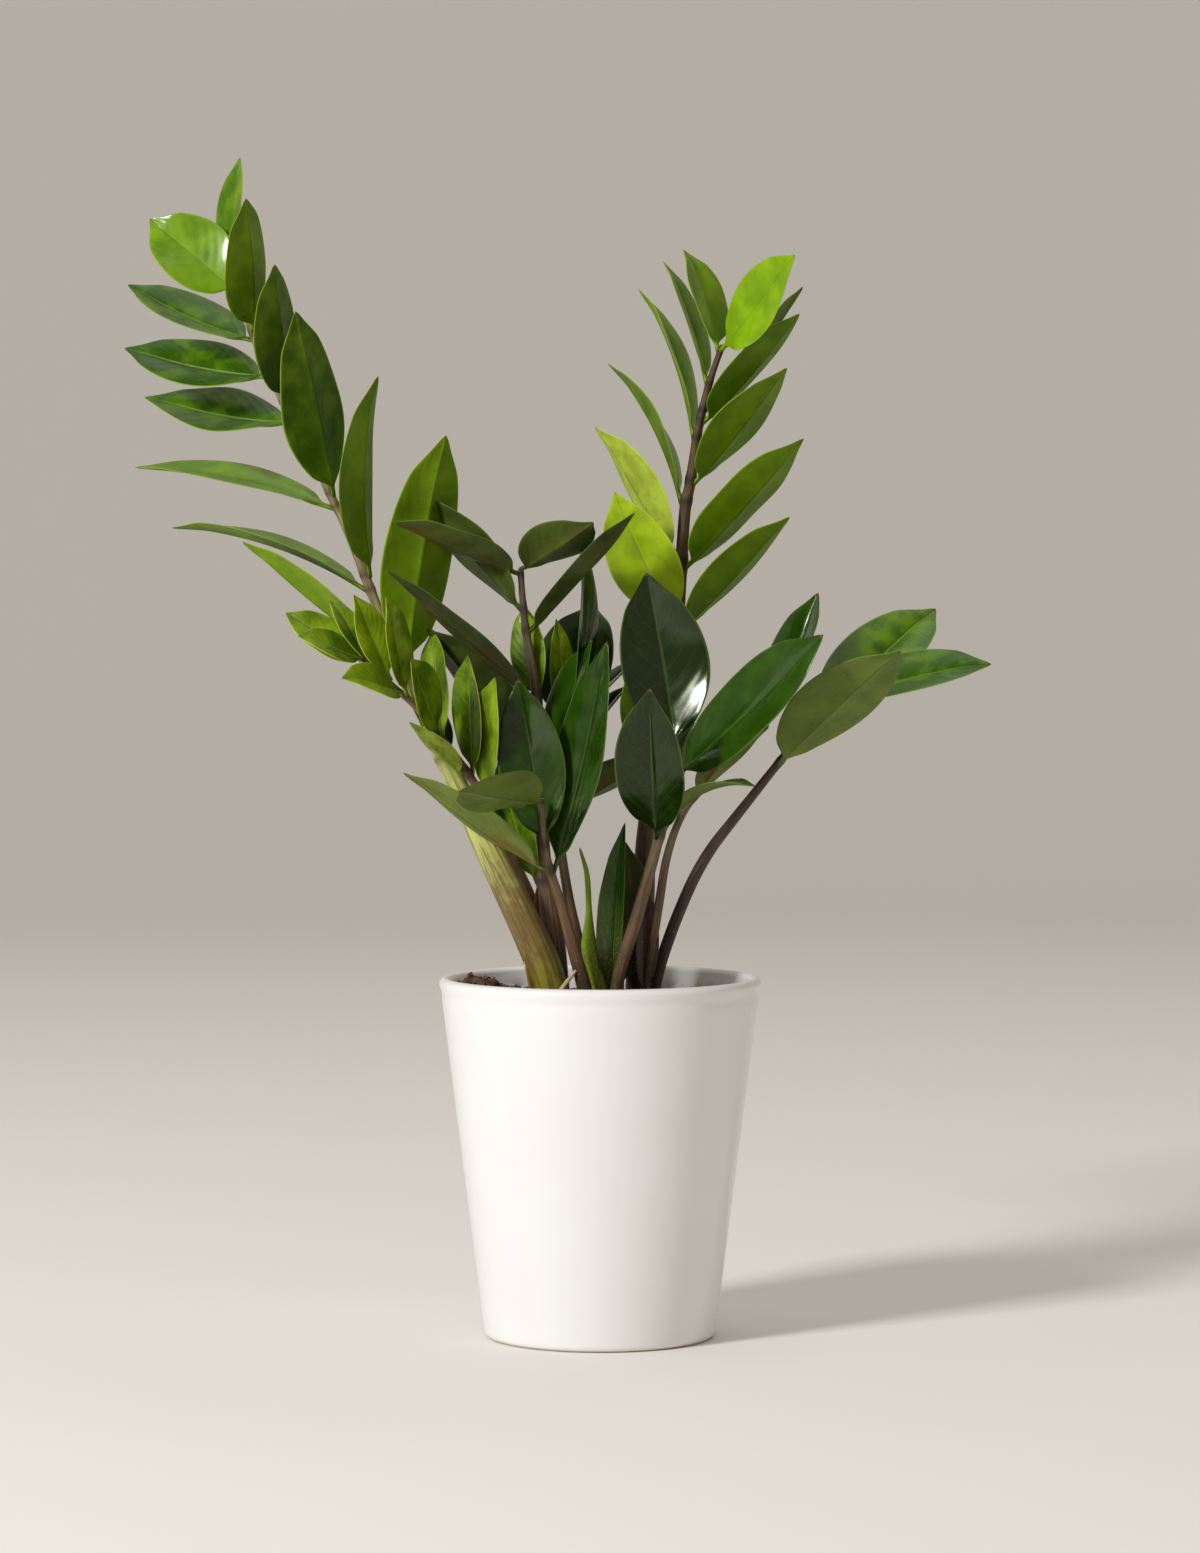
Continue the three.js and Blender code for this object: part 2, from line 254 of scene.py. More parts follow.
# %% Rings of a CAD node
def merged_shape(name):
    """The corners of a CAD node with doubles merged, and each corner's neighbours."""
    builder = bmesh.new()
    builder.from_mesh(frame["nodes"][name].data)
    bmesh.ops.remove_doubles(builder, verts=builder.verts, dist=0.01 * MM)
    builder.verts.ensure_lookup_table()
    places = np.array([v.co for v in builder.verts])
    near = [[e.other_vert(v).index for e in v.link_edges] for v in builder.verts]
    builder.free()
    return places, near


def steps_from(start, near):
    """Groups all corners by how many edges they are from the start."""
    seen = {start}
    layers = [[start]]
    while layers[-1]:
        layers.append(sorted({n for v in layers[-1] for n in near[v]} - seen))
        seen.update(layers[-1])
    return layers[:-1]


def rings_of(name, corners):
    """The rings of a node from its lower or first pole to the other, as arrays of places."""
    places, near = merged_shape(name)
    for start in range(len(places)):
        layers = steps_from(start, near)
        if len(layers[-1]) == 1 and all(len(layer) == corners for layer in layers[1:-1]):
            return [places[layer] for layer in layers]
    raise ValueError(f"{name} has no pole with rings of {corners} corners")


# %% Stalk lines
STALK_CORNERS = 8
PATH_STEPS = 140


def smooth_path(points, steps):
    """Resamples rows of numbers along a smooth curve through all of them."""
    points = np.asarray(points, float)
    padded = np.vstack([2 * points[0] - points[1], points, 2 * points[-1] - points[-2]])
    result = []
    for share in np.linspace(0, len(points) - 1, steps):
        first = min(int(share), len(points) - 2)
        t = share - first
        a, b, c, d = padded[first:first + 4]
        result.append(0.5 * (2 * b + (c - a) * t + (2 * a - 5 * b + 4 * c - d) * t**2
                             + (3 * b - a - 3 * c + d) * t**3))
    return np.array(result)


def read_stalk(name):
    """Rows of x, y, z and radius from the foot of a stalk to its tip."""
    rings = rings_of(name, STALK_CORNERS)[1:-1]
    rows = [[*ring.mean(0), np.linalg.norm(ring - ring.mean(0), axis=1).mean()] for ring in rings]
    if rows[0][2] > rows[-1][2]:
        rows.reverse()
    return smooth_path(rows, PATH_STEPS)


FRONDS = [name[:-len("_stalk")] for name in SLOT_OF if name.endswith("_stalk")]
stalk_paths = {frond: read_stalk(frond + "_stalk") for frond in FRONDS}
print("fronds:", ", ".join(FRONDS))


# %% Leaflet lines
class Leaflet:
    """Where one leaflet is: its midrib, the way its upper face looks, and its width."""

    def __init__(self, name, frond, slot, shares, midrib, upper, width, node=None):
        self.name = name
        self.frond = frond
        self.slot = slot
        self.node = node
        self.width = width
        self.base = midrib[0]
        self.curve = [np.polyfit(shares, midrib[:, axis], 2) for axis in range(3)]
        self.facing = [np.polyfit(shares, upper[:, axis], 1) for axis in range(3)]
        self.length = float(np.linalg.norm(np.diff(midrib, axis=0), axis=1).sum())

    def place(self, share):
        return np.array([np.polyval(c, share) for c in self.curve])

    def heading(self, share):
        way = np.array([np.polyval(np.polyder(c), share) for c in self.curve])
        return way / np.linalg.norm(way)

    def lift(self, share):
        up = np.array([np.polyval(c, share) for c in self.facing])
        ahead = self.heading(share)
        up = up - up.dot(ahead) * ahead
        return up / np.linalg.norm(up)


def read_leaflet(node):
    """Finds a leaflet's midrib, upper face and width from its rings of four corners."""
    frond, number = node.split("_leaf_")
    rings = rings_of(node, 4)
    path = stalk_paths[frond][:, :3]
    gap = [np.linalg.norm(path - end[0], axis=1).min() for end in (rings[0], rings[-1])]
    if gap[0] > gap[1]:
        rings.reverse()
    midrib, upper, widths = [], [], []
    for ring in rings[1:-1]:
        spans = [(np.linalg.norm(ring[i] - ring[j]), i, j) for i in range(4) for j in range(i)]
        span, left, right = max(spans)
        over, under = [k for k in range(4) if k not in (left, right)]
        edge_middle = (ring[left] + ring[right]) / 2
        if np.linalg.norm(ring[over] - edge_middle) > np.linalg.norm(ring[under] - edge_middle):
            over, under = under, over
        midrib.append((ring[over] + ring[under]) / 2)
        upper.append((ring[over] - ring[under]) / np.linalg.norm(ring[over] - ring[under]))
        widths.append(span)
    upper = np.array([upper[0], *upper, upper[-1]])
    midrib = np.array([rings[0][0], *midrib, rings[-1][0]])
    travel = np.append(0, np.cumsum(np.linalg.norm(np.diff(midrib, axis=0), axis=1)))
    return Leaflet(f"{frond}_blade_{number}", frond, SLOT_OF[node], travel / travel[-1],
                   midrib, upper, max(widths), node)


leaflets = [read_leaflet(name) for name in SLOT_OF if "_leaf_" in name]
print("leaflets with a solid of their own:", len(leaflets))

# %% [markdown]
# ## The leaflets that the solids leave out
# The plant also has small or half-hidden leaflets and young shoots. Each row gives the frond, the
# height of the joint above the table, the tip, the width, how far the upper face is turned from the
# front, and how far the blade arches, in the same way as for the leaflets above. The finish is the
# frond's own unless the row names another.

# %% Extra leaflets
EXTRA_LEAFLETS = [
    # frond, joint height, tip, width, turn, arch, finish
    ("left_frond", 240, (-81, 12, 273), 24, 60, 0.02, "deep_green_leaf"),
    ("arching_frond", 283, (-122, -40, 293), 16, 47, 0.0, None),
    ("arching_frond", 280, (-111, -14, 307), 15, 53, 0.0, None),
    ("arching_frond", 269, (-104, -50, 276), 18, 62, 0.03, None),
    ("arching_frond", 236, (-78, -22, 257), 17, 120, -0.03, None),
    ("arching_frond", 226, (-44, -32, 275), 20, -50, 0.0, None),
    ("right_frond", 397, (27, 26, 449), 24, 76, 0.03, None),
    ("right_frond", 374, (17, 32, 438), 26, 84, 0.05, None),
    ("right_frond", 238, (15, 4, 284), 28, 40, 0.0, None),
    ("middle_frond", 303, (-81.5, 6, 351), 29, 118, 0.02, None),
    ("middle_frond", 242, (-72, 10, 295), 32, 126, 0.0, None),
    ("middle_frond", 266, (-32, 10, 305), 17, -30, 0.0, "young_leaf"),
    ("inner_frond", 248, (-8, -6, 334), 24, 74, 0.04, None),
    ("inner_frond", 256, (-18, 10, 299), 13, 40, 0.02, "young_leaf"),
    ("inner_frond", 250, (17, 24, 283), 22, -74, 0.03, None),
    ("inner_frond", 234, (13, 16, 273), 22, -74, 0.03, None),
    ("broad_frond", 214, (63, -50, 232), 19, -100, 0.13, None),
    ("middle_frond", 190, (-43, 2, 240), 17, -30, 0.03, "young_leaf"),
]


def nearest_on(path, height):
    return int(np.abs(path[:, 2] - height).argmin())


def place_leaflet(frond, number, row):
    """Makes a leaflet line from a row, starting at the skin of its stalk."""
    height, tip, width, turn, arch, slot = row
    path = stalk_paths[frond]
    at = nearest_on(path, height * MM)
    centre, radius = path[at, :3], path[at, 3]
    along = path[min(at + 1, len(path) - 1), :3] - path[max(at - 1, 0), :3]
    along /= np.linalg.norm(along)
    tip = np.array(tip) * MM
    out = tip - centre
    out -= out.dot(along) * along
    base = centre + out / np.linalg.norm(out) * radius
    slot = slot or SLOT_OF[frond + "_leaf_01"]
    return free_leaflet(f"{frond}_small_blade_{number:02d}", frond, slot, base, tip, width * MM, turn, arch)


def free_leaflet(name, frond, slot, base, tip, width, turn, arch):
    """A leaflet line from its two ends, with the upper face turned from the front."""
    ahead = Vector(tip - base).normalized()
    front = Vector((0, -1, 0))
    front = (front - front.dot(ahead) * ahead).normalized()
    upper = Matrix.Rotation(math.radians(turn), 3, ahead) @ front
    crown = (base + tip) / 2 + 2 * arch * np.linalg.norm(tip - base) * np.array(upper)
    shares = np.linspace(0, 1, 7)
    weights = np.array([(1 - shares)**2, 2 * shares * (1 - shares), shares**2]).T
    midrib = weights @ np.array([base, crown, tip])
    return Leaflet(name, frond, slot, shares, midrib, np.array([upper] * 7), width)


for number, (frond, *row) in enumerate(EXTRA_LEAFLETS, 1):
    leaflets.append(place_leaflet(frond, number, row))
print("leaflets in all:", len(leaflets))

# %% [markdown]
# ## The patterns that several finishes share
# A node group is built once and used in many materials, each with its own numbers. The mottle group
# turns noise into a soft mask, for the uneven green of a leaf, the streaks of a stalk and the smears
# on the pot. The blade group finds the midrib, the side veins, the margin and the tip of a leaflet
# from the map that each blade carries, where x runs across it and y runs along it.


# %% Mottle group
def group_socket(group, name, direction, kind="NodeSocketFloat", value=None):
    socket = group.interface.new_socket(name, in_out=direction, socket_type=kind)
    if value is not None:
        socket.default_value = value


def build_mottle():
    group = bpy.data.node_groups.new("mottle", "ShaderNodeTree")
    group_socket(group, "Vector", "INPUT", "NodeSocketVector")
    group_socket(group, "Scale", "INPUT", value=60.0)
    group_socket(group, "Detail", "INPUT", value=3.0)
    group_socket(group, "Low", "INPUT", value=0.4)
    group_socket(group, "High", "INPUT", value=0.65)
    group_socket(group, "Mask", "OUTPUT")
    given = group.nodes.new("NodeGroupInput")
    sent = group.nodes.new("NodeGroupOutput")
    noise = add_node(group, "ShaderNodeTexNoise", {
        "Vector": given.outputs["Vector"], "Scale": given.outputs["Scale"],
        "Detail": given.outputs["Detail"], "Roughness": 0.55})
    mask = fade(group, noise.outputs["Fac"], given.outputs["Low"], given.outputs["High"])
    group.links.new(mask, sent.inputs["Mask"])
    return group


MOTTLE = build_mottle()


def mottle(tree, vector, scale, low=0.4, high=0.65, detail=3.0):
    """Places the mottle group in a material and gives back its mask."""
    inputs = {"Vector": vector, "Scale": scale, "Low": low, "High": high, "Detail": detail}
    return add_node(tree, "ShaderNodeGroup", inputs, node_tree=MOTTLE).outputs["Mask"]


# %% Blade group
def build_blade_marks():
    group = bpy.data.node_groups.new("blade_marks", "ShaderNodeTree")
    group_socket(group, "Map", "INPUT", "NodeSocketVector")
    group_socket(group, "Veins", "INPUT", value=9.0)
    for name in ("Midrib", "Beside Midrib", "Side Veins", "Margin", "Tip", "Relief"):
        group_socket(group, name, "OUTPUT")
    given = group.nodes.new("NodeGroupInput")
    sent = group.nodes.new("NodeGroupOutput")
    parts = add_node(group, "ShaderNodeSeparateXYZ", {0: given.outputs["Map"]})
    across = calculate(group, "ABSOLUTE", calculate(group, "MULTIPLY_ADD", parts.outputs["X"], 2.0, -1.0))
    along = parts.outputs["Y"]

    rib_width = calculate(group, "MULTIPLY_ADD", along, -0.045, 0.075)
    rib_crest = calculate(group, "MULTIPLY", rib_width, 0.3)
    midrib = calculate(group, "SUBTRACT", 1.0, fade(group, across, rib_crest, rib_width))
    # A side vein leaves the midrib and bends towards the tip, so it crosses lines of along - across.
    bend = calculate(group, "MULTIPLY", calculate(group, "POWER", across, 1.4), 0.30)
    phase = calculate(group, "MULTIPLY", calculate(group, "SUBTRACT", along, bend), given.outputs["Veins"])
    wave = calculate(group, "COSINE", calculate(group, "MULTIPLY", phase, 2 * math.pi))
    inside = fade(group, across, 0.75, 0.97, 1.0, 0.0)
    veins = calculate(group, "MULTIPLY", fade(group, wave, 0.80, 1.0), inside)
    beside = fade(group, across, 0.06, 0.55, 1.0, 0.0)
    margin = fade(group, across, 0.93, 0.995)
    tip = fade(group, along, 0.975, 1.0)
    quilt = calculate(group, "MULTIPLY", calculate(group, "MULTIPLY", wave, inside), -0.3)
    relief = calculate(group, "SUBTRACT", quilt, calculate(group, "MULTIPLY", midrib, 1.2))

    found = {"Midrib": midrib, "Beside Midrib": beside, "Side Veins": veins, "Margin": margin,
             "Tip": tip, "Relief": relief}
    for name, value in found.items():
        group.links.new(value, sent.inputs[name])
    return group


BLADE_MARKS = build_blade_marks()
print("shared groups:", MOTTLE.name, BLADE_MARKS.name)

# %% [markdown]
# ## Leaf finishes
# The upper face of a leaflet has a thick wax, which is why it shines. The underside is matte, paler
# and more olive, and its midrib stands out. One material does both: every blade has an attribute
# named upper, 1 above and 0 below, that mixes the two. Light also passes a little way into the
# blade, so there is some subsurface scattering. The three finishes are one function with its own
# greens for the young, the grown and the old fronds.


# %% Leaf material
SPLASH_HEIGHTS = (0.152, 0.185)  # full below the first, gone above the second, in metres
RUSTY_BROWN = rgb(104, 66, 30)
TIP_BROWN = rgb(120, 84, 44)
SOIL_SPECKS = rgb(116, 78, 54)


def leaf_material(name, light, dark, under, under_dark, rib, margin, gloss, wax, cloudy):
    material, tree, surface = new_material(name)
    upper = attribute(tree, "upper")
    tone = attribute(tree, "tone")
    place = add_node(tree, "ShaderNodeTexCoord").outputs["Object"]
    blade_map = add_node(tree, "ShaderNodeUVMap", uv_map="blade").outputs["UV"]
    marks = add_node(tree, "ShaderNodeGroup", {"Map": blade_map}, node_tree=BLADE_MARKS)

    clouds = mottle(tree, place, 85.0, 0.34, 0.68)
    freckles = mottle(tree, place, 620.0, 0.62, 0.72, 2.0)
    # The mix between the dark and light greens is partly each leaflet's own green, partly painted light and
    # painted shade set per leaflet and per frond.
    shade = calculate(tree, "MULTIPLY_ADD", clouds, cloudy, calculate(tree, "MULTIPLY", tone, 0.6))
    above = mix_colours(tree, shade, dark, light)
    above = lay_over(tree, above, rib, marks.outputs["Side Veins"], 0.05)
    above = lay_over(tree, above, rib, marks.outputs["Midrib"], 0.30)
    below = mix_colours(tree, shade, under_dark, under)
    below = lay_over(tree, below, under_dark, freckles, 0.35)
    below = lay_over(tree, below, under_dark, marks.outputs["Midrib"], 0.30)
    # Old leaflets turn rusty brown below, in streaks that run along both sides of the midrib.
    drawn = add_node(tree, "ShaderNodeMapping", {"Vector": blade_map, "Scale": (11.0, 1.7, 1.0)})
    drawn = add_node(tree, "ShaderNodeVectorMath", {0: place, 1: (14.0, 14.0, 14.0), 2: drawn.outputs[0]},
                     operation="MULTIPLY_ADD")
    streaks = mottle(tree, drawn.outputs[0], 1.3, 0.44, 0.60, 5.0)
    streaks = calculate(tree, "MULTIPLY", streaks, marks.outputs["Beside Midrib"])
    rusty = calculate(tree, "MULTIPLY", streaks, attribute(tree, "rust"))
    below = mix_colours(tree, rusty, below, RUSTY_BROWN)
    colour = mix_colours(tree, upper, below, above)
    colour = lay_over(tree, colour, margin, marks.outputs["Margin"], 0.55)
    colour = lay_over(tree, colour, TIP_BROWN, marks.outputs["Tip"], 0.8)
    # Watering splashes specks of soil on whatever is close to the mix.
    height = add_node(tree, "ShaderNodeSeparateXYZ", {0: place}).outputs["Z"]
    splashes = mottle(tree, place, 900.0, 0.50, 0.62, 2.0)
    splashes = calculate(tree, "MULTIPLY", splashes, fade(tree, height, *SPLASH_HEIGHTS, 0.85, 0.0))
    colour = mix_colours(tree, splashes, colour, SOIL_SPECKS)
    tree.links.new(colour, surface.inputs["Base Color"])

    worn = mix_values(tree, clouds, gloss, gloss + 0.10)
    tree.links.new(mix_values(tree, upper, 0.60, worn), surface.inputs["Roughness"])
    waxed = calculate(tree, "ADD", attribute(tree, "shine"), wax)
    tree.links.new(calculate(tree, "MULTIPLY", upper, waxed), surface.inputs["Coat Weight"])
    surface.inputs["Coat Roughness"].default_value = 0.12
    surface.inputs["Specular IOR Level"].default_value = 0.24
    surface.inputs["Specular Tint"].default_value = (0.94, 1.0, 0.66, 1)
    surface.inputs["Subsurface Weight"].default_value = 0.16
    surface.inputs["Subsurface Radius"].default_value = (0.7, 1.0, 0.25)
    surface.inputs["Subsurface Scale"].default_value = 1.1 * MM

    ripple = add_node(tree, "ShaderNodeTexNoise", {"Vector": place, "Scale": 140.0, "Detail": 2.0})
    pores = add_node(tree, "ShaderNodeTexNoise", {"Vector": place, "Scale": 2600.0, "Detail": 1.0})
    relief = calculate(tree, "MULTIPLY_ADD", ripple.outputs["Fac"], 0.9, marks.outputs["Relief"])
    relief = calculate(tree, "MULTIPLY_ADD", pores.outputs["Fac"], 0.12, relief)
    bump = add_node(tree, "ShaderNodeBump", {"Strength": 0.5, "Distance": 0.22 * MM, "Height": relief})
    tree.links.new(bump.outputs["Normal"], surface.inputs["Normal"])
    return material


MATERIALS = {
    "young_leaf": leaf_material("young_leaf", rgb(172, 200, 30), rgb(68, 98, 0), rgb(176, 194, 62),
                                rgb(80, 96, 8), rgb(184, 200, 80), rgb(200, 210, 90), 0.36, 0.10, 0.45),
    "green_leaf": leaf_material("green_leaf", rgb(134, 172, 8), rgb(44, 84, 0), rgb(114, 146, 4),
                                rgb(46, 76, 0), rgb(140, 172, 50), rgb(150, 178, 54), 0.34, 0.08, 0.38),
    "deep_green_leaf": leaf_material("deep_green_leaf", rgb(52, 90, 10), rgb(11, 34, 0), rgb(110, 128, 54),
                                     rgb(42, 54, 12), rgb(84, 112, 46), rgb(96, 122, 42), 0.16, 0.40, 0.28),
}
print("leaf finishes:", ", ".join(MATERIALS))

# %% [markdown]
# ## The blades
# A blade could be a flat plane with a picture, but a leaflet seen close up has thickness: a fleshy
# rounded margin, a groove along the midrib above, a rib below, and halves that bulge a little between
# the side veins. So each blade is lofted: a cross-section with an upper and a lower row of points is
# swept along the midrib, and one formula gives every height in it. A seed taken from the name gives
# each blade its own slight wave and twist.

# %% Blade shape
BLADE_RINGS = 48
# Distances from the midrib in half widths, closer together at the midrib and at the margin.
HALF_COLUMNS = [0.035, 0.08, 0.16, 0.28, 0.42, 0.57, 0.71, 0.83, 0.92, 0.975, 1.0]
COLUMNS = np.array([-c for c in reversed(HALF_COLUMNS)] + [0.0] + HALF_COLUMNS)
PETIOLE_SHARE = 0.025  # how much of the length is the short round foot
PETIOLE_RADIUS = 1.0 * MM
BLADE_THICKNESS = 0.75 * MM
PETIOLE_SINK = 1.6 * MM  # how far the foot reaches into the stalk
# The range and shift below stretch the painted light and shade along with each leaflet's own green.
TONE_RANGE = 1.35  # stretches the tones, so that some leaflets are clearly darker than others
TONE_SHIFT = TONE_RANGE * 0.2  # and moves them down again
FOLD = 0.22  # the same rise of the margins as in the CAD blade, in half widths


def smoothstep(low, high, value):
    t = np.clip((value - low) / (high - low), 0, 1)
    return t * t * (3 - 2 * t)


def outline(share):
    """Half width at a share of the length, as a share of the widest: an ellipse with a drawn-out tip."""
    t = np.clip((share - PETIOLE_SHARE) / (1 - PETIOLE_SHARE), 0, 1)
    ellipse = np.sin(np.pi * t**0.90) ** 0.68
    return ellipse * (1 - 0.38 * smoothstep(0.80, 1.0, t)) * smoothstep(-0.05, 0.10, t)


def section_heights(share, half, columns, habit):
    """Heights of the middle of the blade, and of its upper and lower faces, above the midrib line."""
    v = np.abs(columns)
    blade = smoothstep(0.0, 0.12, share - PETIOLE_SHARE)
    fold = habit["fold"] * v**1.25
    puff = habit["puff"] * np.sin(np.pi * v**0.8) * (1 - v * 0.3)
    cycle = habit["waves"] * share + habit["phase"] + 0.2 * np.sign(columns)
    wave = habit["wave"] * v**2 * np.sin(2 * np.pi * cycle)
    uneven = 0.35 * math.sin(2 * math.pi * (habit["waves"] * share + habit["phase"]))
    quilt = 0.05 * MM * 4 * v * (1 - v) * np.cos(2 * np.pi * (9 * (share - 0.3 * v**1.4) + uneven))
    middle = half * blade * (fold + puff + wave) + blade * quilt
    round_off = np.sqrt(np.clip(1 - v**2, 0, 1))
    foot = PETIOLE_RADIUS * (1 - blade) + BLADE_THICKNESS / 2 * blade
    rounded = round_off * (1 - blade) + blade * np.clip(round_off * 1.5, 0, 1) ** 0.7
    groove = 0.26 * MM * blade * (1 - 0.7 * share) * np.exp(-(v / 0.055) ** 2)
    rib = 0.55 * MM * blade * (1 - 0.85 * share) * np.exp(-(v / 0.075) ** 2)
    taper = 1 - 0.5 * smoothstep(0.85, 1.0, share)
    over = middle + foot * rounded * taper - groove
    under = middle - foot * rounded * taper - rib
    return over, under


def blade_habit(name):
    """The small differences between one blade and the next."""
    chance = random.Random(name)
    return {
        "fold": FOLD + chance.uniform(-0.03, 0.05),
        "puff": chance.uniform(0.05, 0.10),
        "wave": chance.uniform(0.015, 0.05),
        "waves": chance.uniform(0.8, 1.9),
        "phase": chance.uniform(0, 1),
        "twist": math.radians(chance.uniform(-9, 9)),
        "hook": chance.uniform(0.4, 1.6) * MM,
        "spread": chance.uniform(-0.3, 0.3),
    }


def make_blade(leaflet, **changes):
    habit = {**blade_habit(leaflet.name), **HABITS.get(leaflet.node, {}), **changes}
    shares = np.linspace(0, 1, BLADE_RINGS + 1)
    inner = COLUMNS[1:-1]
    verts, maps, upper = [], [], []
    sink = leaflet.place(0) - leaflet.heading(0) * PETIOLE_SINK
    for share in shares[:-1]:
        half = max(leaflet.width / 2 * outline(share), PETIOLE_RADIUS * (1 - 0.6 * share))
        ahead, lift = leaflet.heading(share), leaflet.lift(share)
        side = np.cross(ahead, lift)
        turn = habit["twist"] * math.sin(math.pi * share)
        turned_side = side * math.cos(turn) + lift * math.sin(turn)
        lift = lift * math.cos(turn) - side * math.sin(turn)
        side = turned_side
        centre = leaflet.place(share) if share > 0 else sink
        centre = centre - lift * habit["hook"] * smoothstep(0.8, 1.0, share)
        over, _ = section_heights(share, half, COLUMNS, habit)
        _, under = section_heights(share, half, inner, habit)
        for column, height in zip(COLUMNS, over):
            verts.append(centre + side * half * column + lift * height)
            maps.append((column / 2 + 0.5, share))
            upper.append(1.0 if abs(column) < 1 else 0.5)
        for column, height in zip(inner[::-1], under[::-1]):
            verts.append(centre + side * half * column + lift * height)
            maps.append((column / 2 + 0.5, share))
            upper.append(0.0)
    ring = len(COLUMNS) + len(inner)
    faces = []
    for row in range(BLADE_RINGS - 1):
        for k in range(ring):
            after = (k + 1) % ring
            near, far = row * ring, (row + 1) * ring
            faces.append((near + k, near + after, far + after, far + k))
    first, last = len(verts), len(verts) + 1
    verts += [sink, leaflet.place(1) - leaflet.lift(1) * habit["hook"]]
    maps += [(0.5, 0.0), (0.5, 1.0)]
    upper += [0.5, 0.5]
    top = (BLADE_RINGS - 1) * ring
    for k in range(ring):
        after = (k + 1) % ring
        faces.append((first, after, k))
        faces.append((last, top + k, top + after))
    return finish_blade(leaflet, habit, verts, faces, maps, upper)


def face_outwards(mesh):
    """Turns every face of a closed mesh outwards and shades it smoothly."""
    builder = bmesh.new()
    builder.from_mesh(mesh)
    bmesh.ops.recalc_face_normals(builder, faces=builder.faces)
    builder.to_mesh(mesh)
    builder.free()
    mesh.shade_smooth()


def finish_blade(leaflet, habit, verts, faces, maps, upper):
    """Turns the rows of points into a mesh with its map and its attributes."""
    mesh = bpy.data.meshes.new(leaflet.name)
    mesh.from_pydata([tuple(v) for v in verts], [], faces)
    layer = mesh.uv_layers.new(name="blade")
    corners = np.empty(len(mesh.loops), int)
    mesh.loops.foreach_get("vertex_index", corners)
    layer.data.foreach_set("uv", np.array(maps)[corners].ravel())
    mesh.attributes.new("upper", "FLOAT", "POINT").data.foreach_set("value", upper)
    label = leaflet.node or leaflet.name
    # Each blade's own green plus its painted light and shade, from the two tables at the top.
    tone = LEAF_TONE_AND_LIGHT.get(label, FROND_TONE_AND_LIGHT.get(leaflet.frond, 0.5) + habit["spread"])
    whole_blade = {
        "tone": tone * TONE_RANGE - TONE_SHIFT,
        "rust": RUST.get(label, 0.0),
        "shine": WAX.get(leaflet.node, 0.0),
    }
    for key, value in whole_blade.items():
        values = np.full(len(verts), value)
        mesh.attributes.new(key, "FLOAT", "POINT").data.foreach_set("value", values)
    face_outwards(mesh)
    mesh.materials.append(MATERIALS[leaflet.slot])
    blade = add_object(leaflet.name, mesh)
    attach(blade, BODY)
    if leaflet.node:
        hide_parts(leaflet.node)
    return blade


blades = [make_blade(leaflet) for leaflet in leaflets]
print("blades:", len(blades), "faces in each:", len(blades[0].data.polygons))

# %% [markdown]
# ## Stalk finishes
# The stalks differ most in colour: the thick young one is pale yellow-green with brown streaks, the
# arching one is pinkish, and the old ones are grey-brown or nearly black. All have fine lengthwise
# streaks and darker scars where leaflets join. The streaks have to follow the stalk, so each stalk
# carries an attribute named skin: the sine and cosine of the way round, and the distance along.


# %% Stalk material
# Heights in metres between which foot turns into band, band into pale, and pale into top.
STALK_BANDS = [(0.150, 0.173), (0.180, 0.214), (0.240, 0.330)]
CRUMB_HEIGHTS = (0.150, 0.182)  # crumbs of mix cling below the first, and few above the second


def stalk_material(name, foot, band, pale, top, streak, scar, contrast=0.6):
    """Colours from the foot upwards: foot, band, pale and top. Streaks and scars lie over them."""
    material, tree, surface = new_material(name)
    skin = attribute(tree, "skin", "Vector")
    place = add_node(tree, "ShaderNodeTexCoord").outputs["Object"]
    height = add_node(tree, "ShaderNodeSeparateXYZ", {0: place}).outputs["Z"]
    # The noise is finer round the stalk than along it, and so draws out into streaks.
    stretched = add_node(tree, "ShaderNodeMapping", {"Vector": skin, "Scale": (2.6, 2.6, 1.8)}).outputs[0]
    streaks = mottle(tree, stretched, 2.6, 0.46, 0.60, 5.0)
    blotches = mottle(tree, place, 130.0, 0.44, 0.64)
    specks = mottle(tree, place, 900.0, 0.60, 0.70, 2.0)
    uneven = calculate(tree, "MULTIPLY_ADD", blotches, 12 * MM, height)
    colour = foot
    for (low, high), above in zip(STALK_BANDS, (band, pale, top)):
        colour = mix_colours(tree, fade(tree, uneven, low, high), colour, above)
    colour = lay_over(tree, colour, streak, streaks, contrast)
    colour = lay_over(tree, colour, streak, blotches, contrast * 0.3)
    colour = mix_colours(tree, attribute(tree, "scar"), colour, scar)
    crumbs = calculate(tree, "MULTIPLY", specks, fade(tree, height, *CRUMB_HEIGHTS, 0.75, 0.12))
    colour = mix_colours(tree, crumbs, colour, rgb(140, 98, 72))
    tree.links.new(colour, surface.inputs["Base Color"])
    tree.links.new(mix_values(tree, streaks, 0.36, 0.54), surface.inputs["Roughness"])
    surface.inputs["Specular IOR Level"].default_value = 0.35
    surface.inputs["Subsurface Weight"].default_value = 0.08
    surface.inputs["Subsurface Scale"].default_value = 1.5 * MM
    ridges = calculate(tree, "MULTIPLY_ADD", specks, 0.4, streaks)
    bump = add_node(tree, "ShaderNodeBump", {"Strength": 0.45, "Distance": 0.2 * MM, "Height": ridges})
    tree.links.new(bump.outputs["Normal"], surface.inputs["Normal"])
    return material


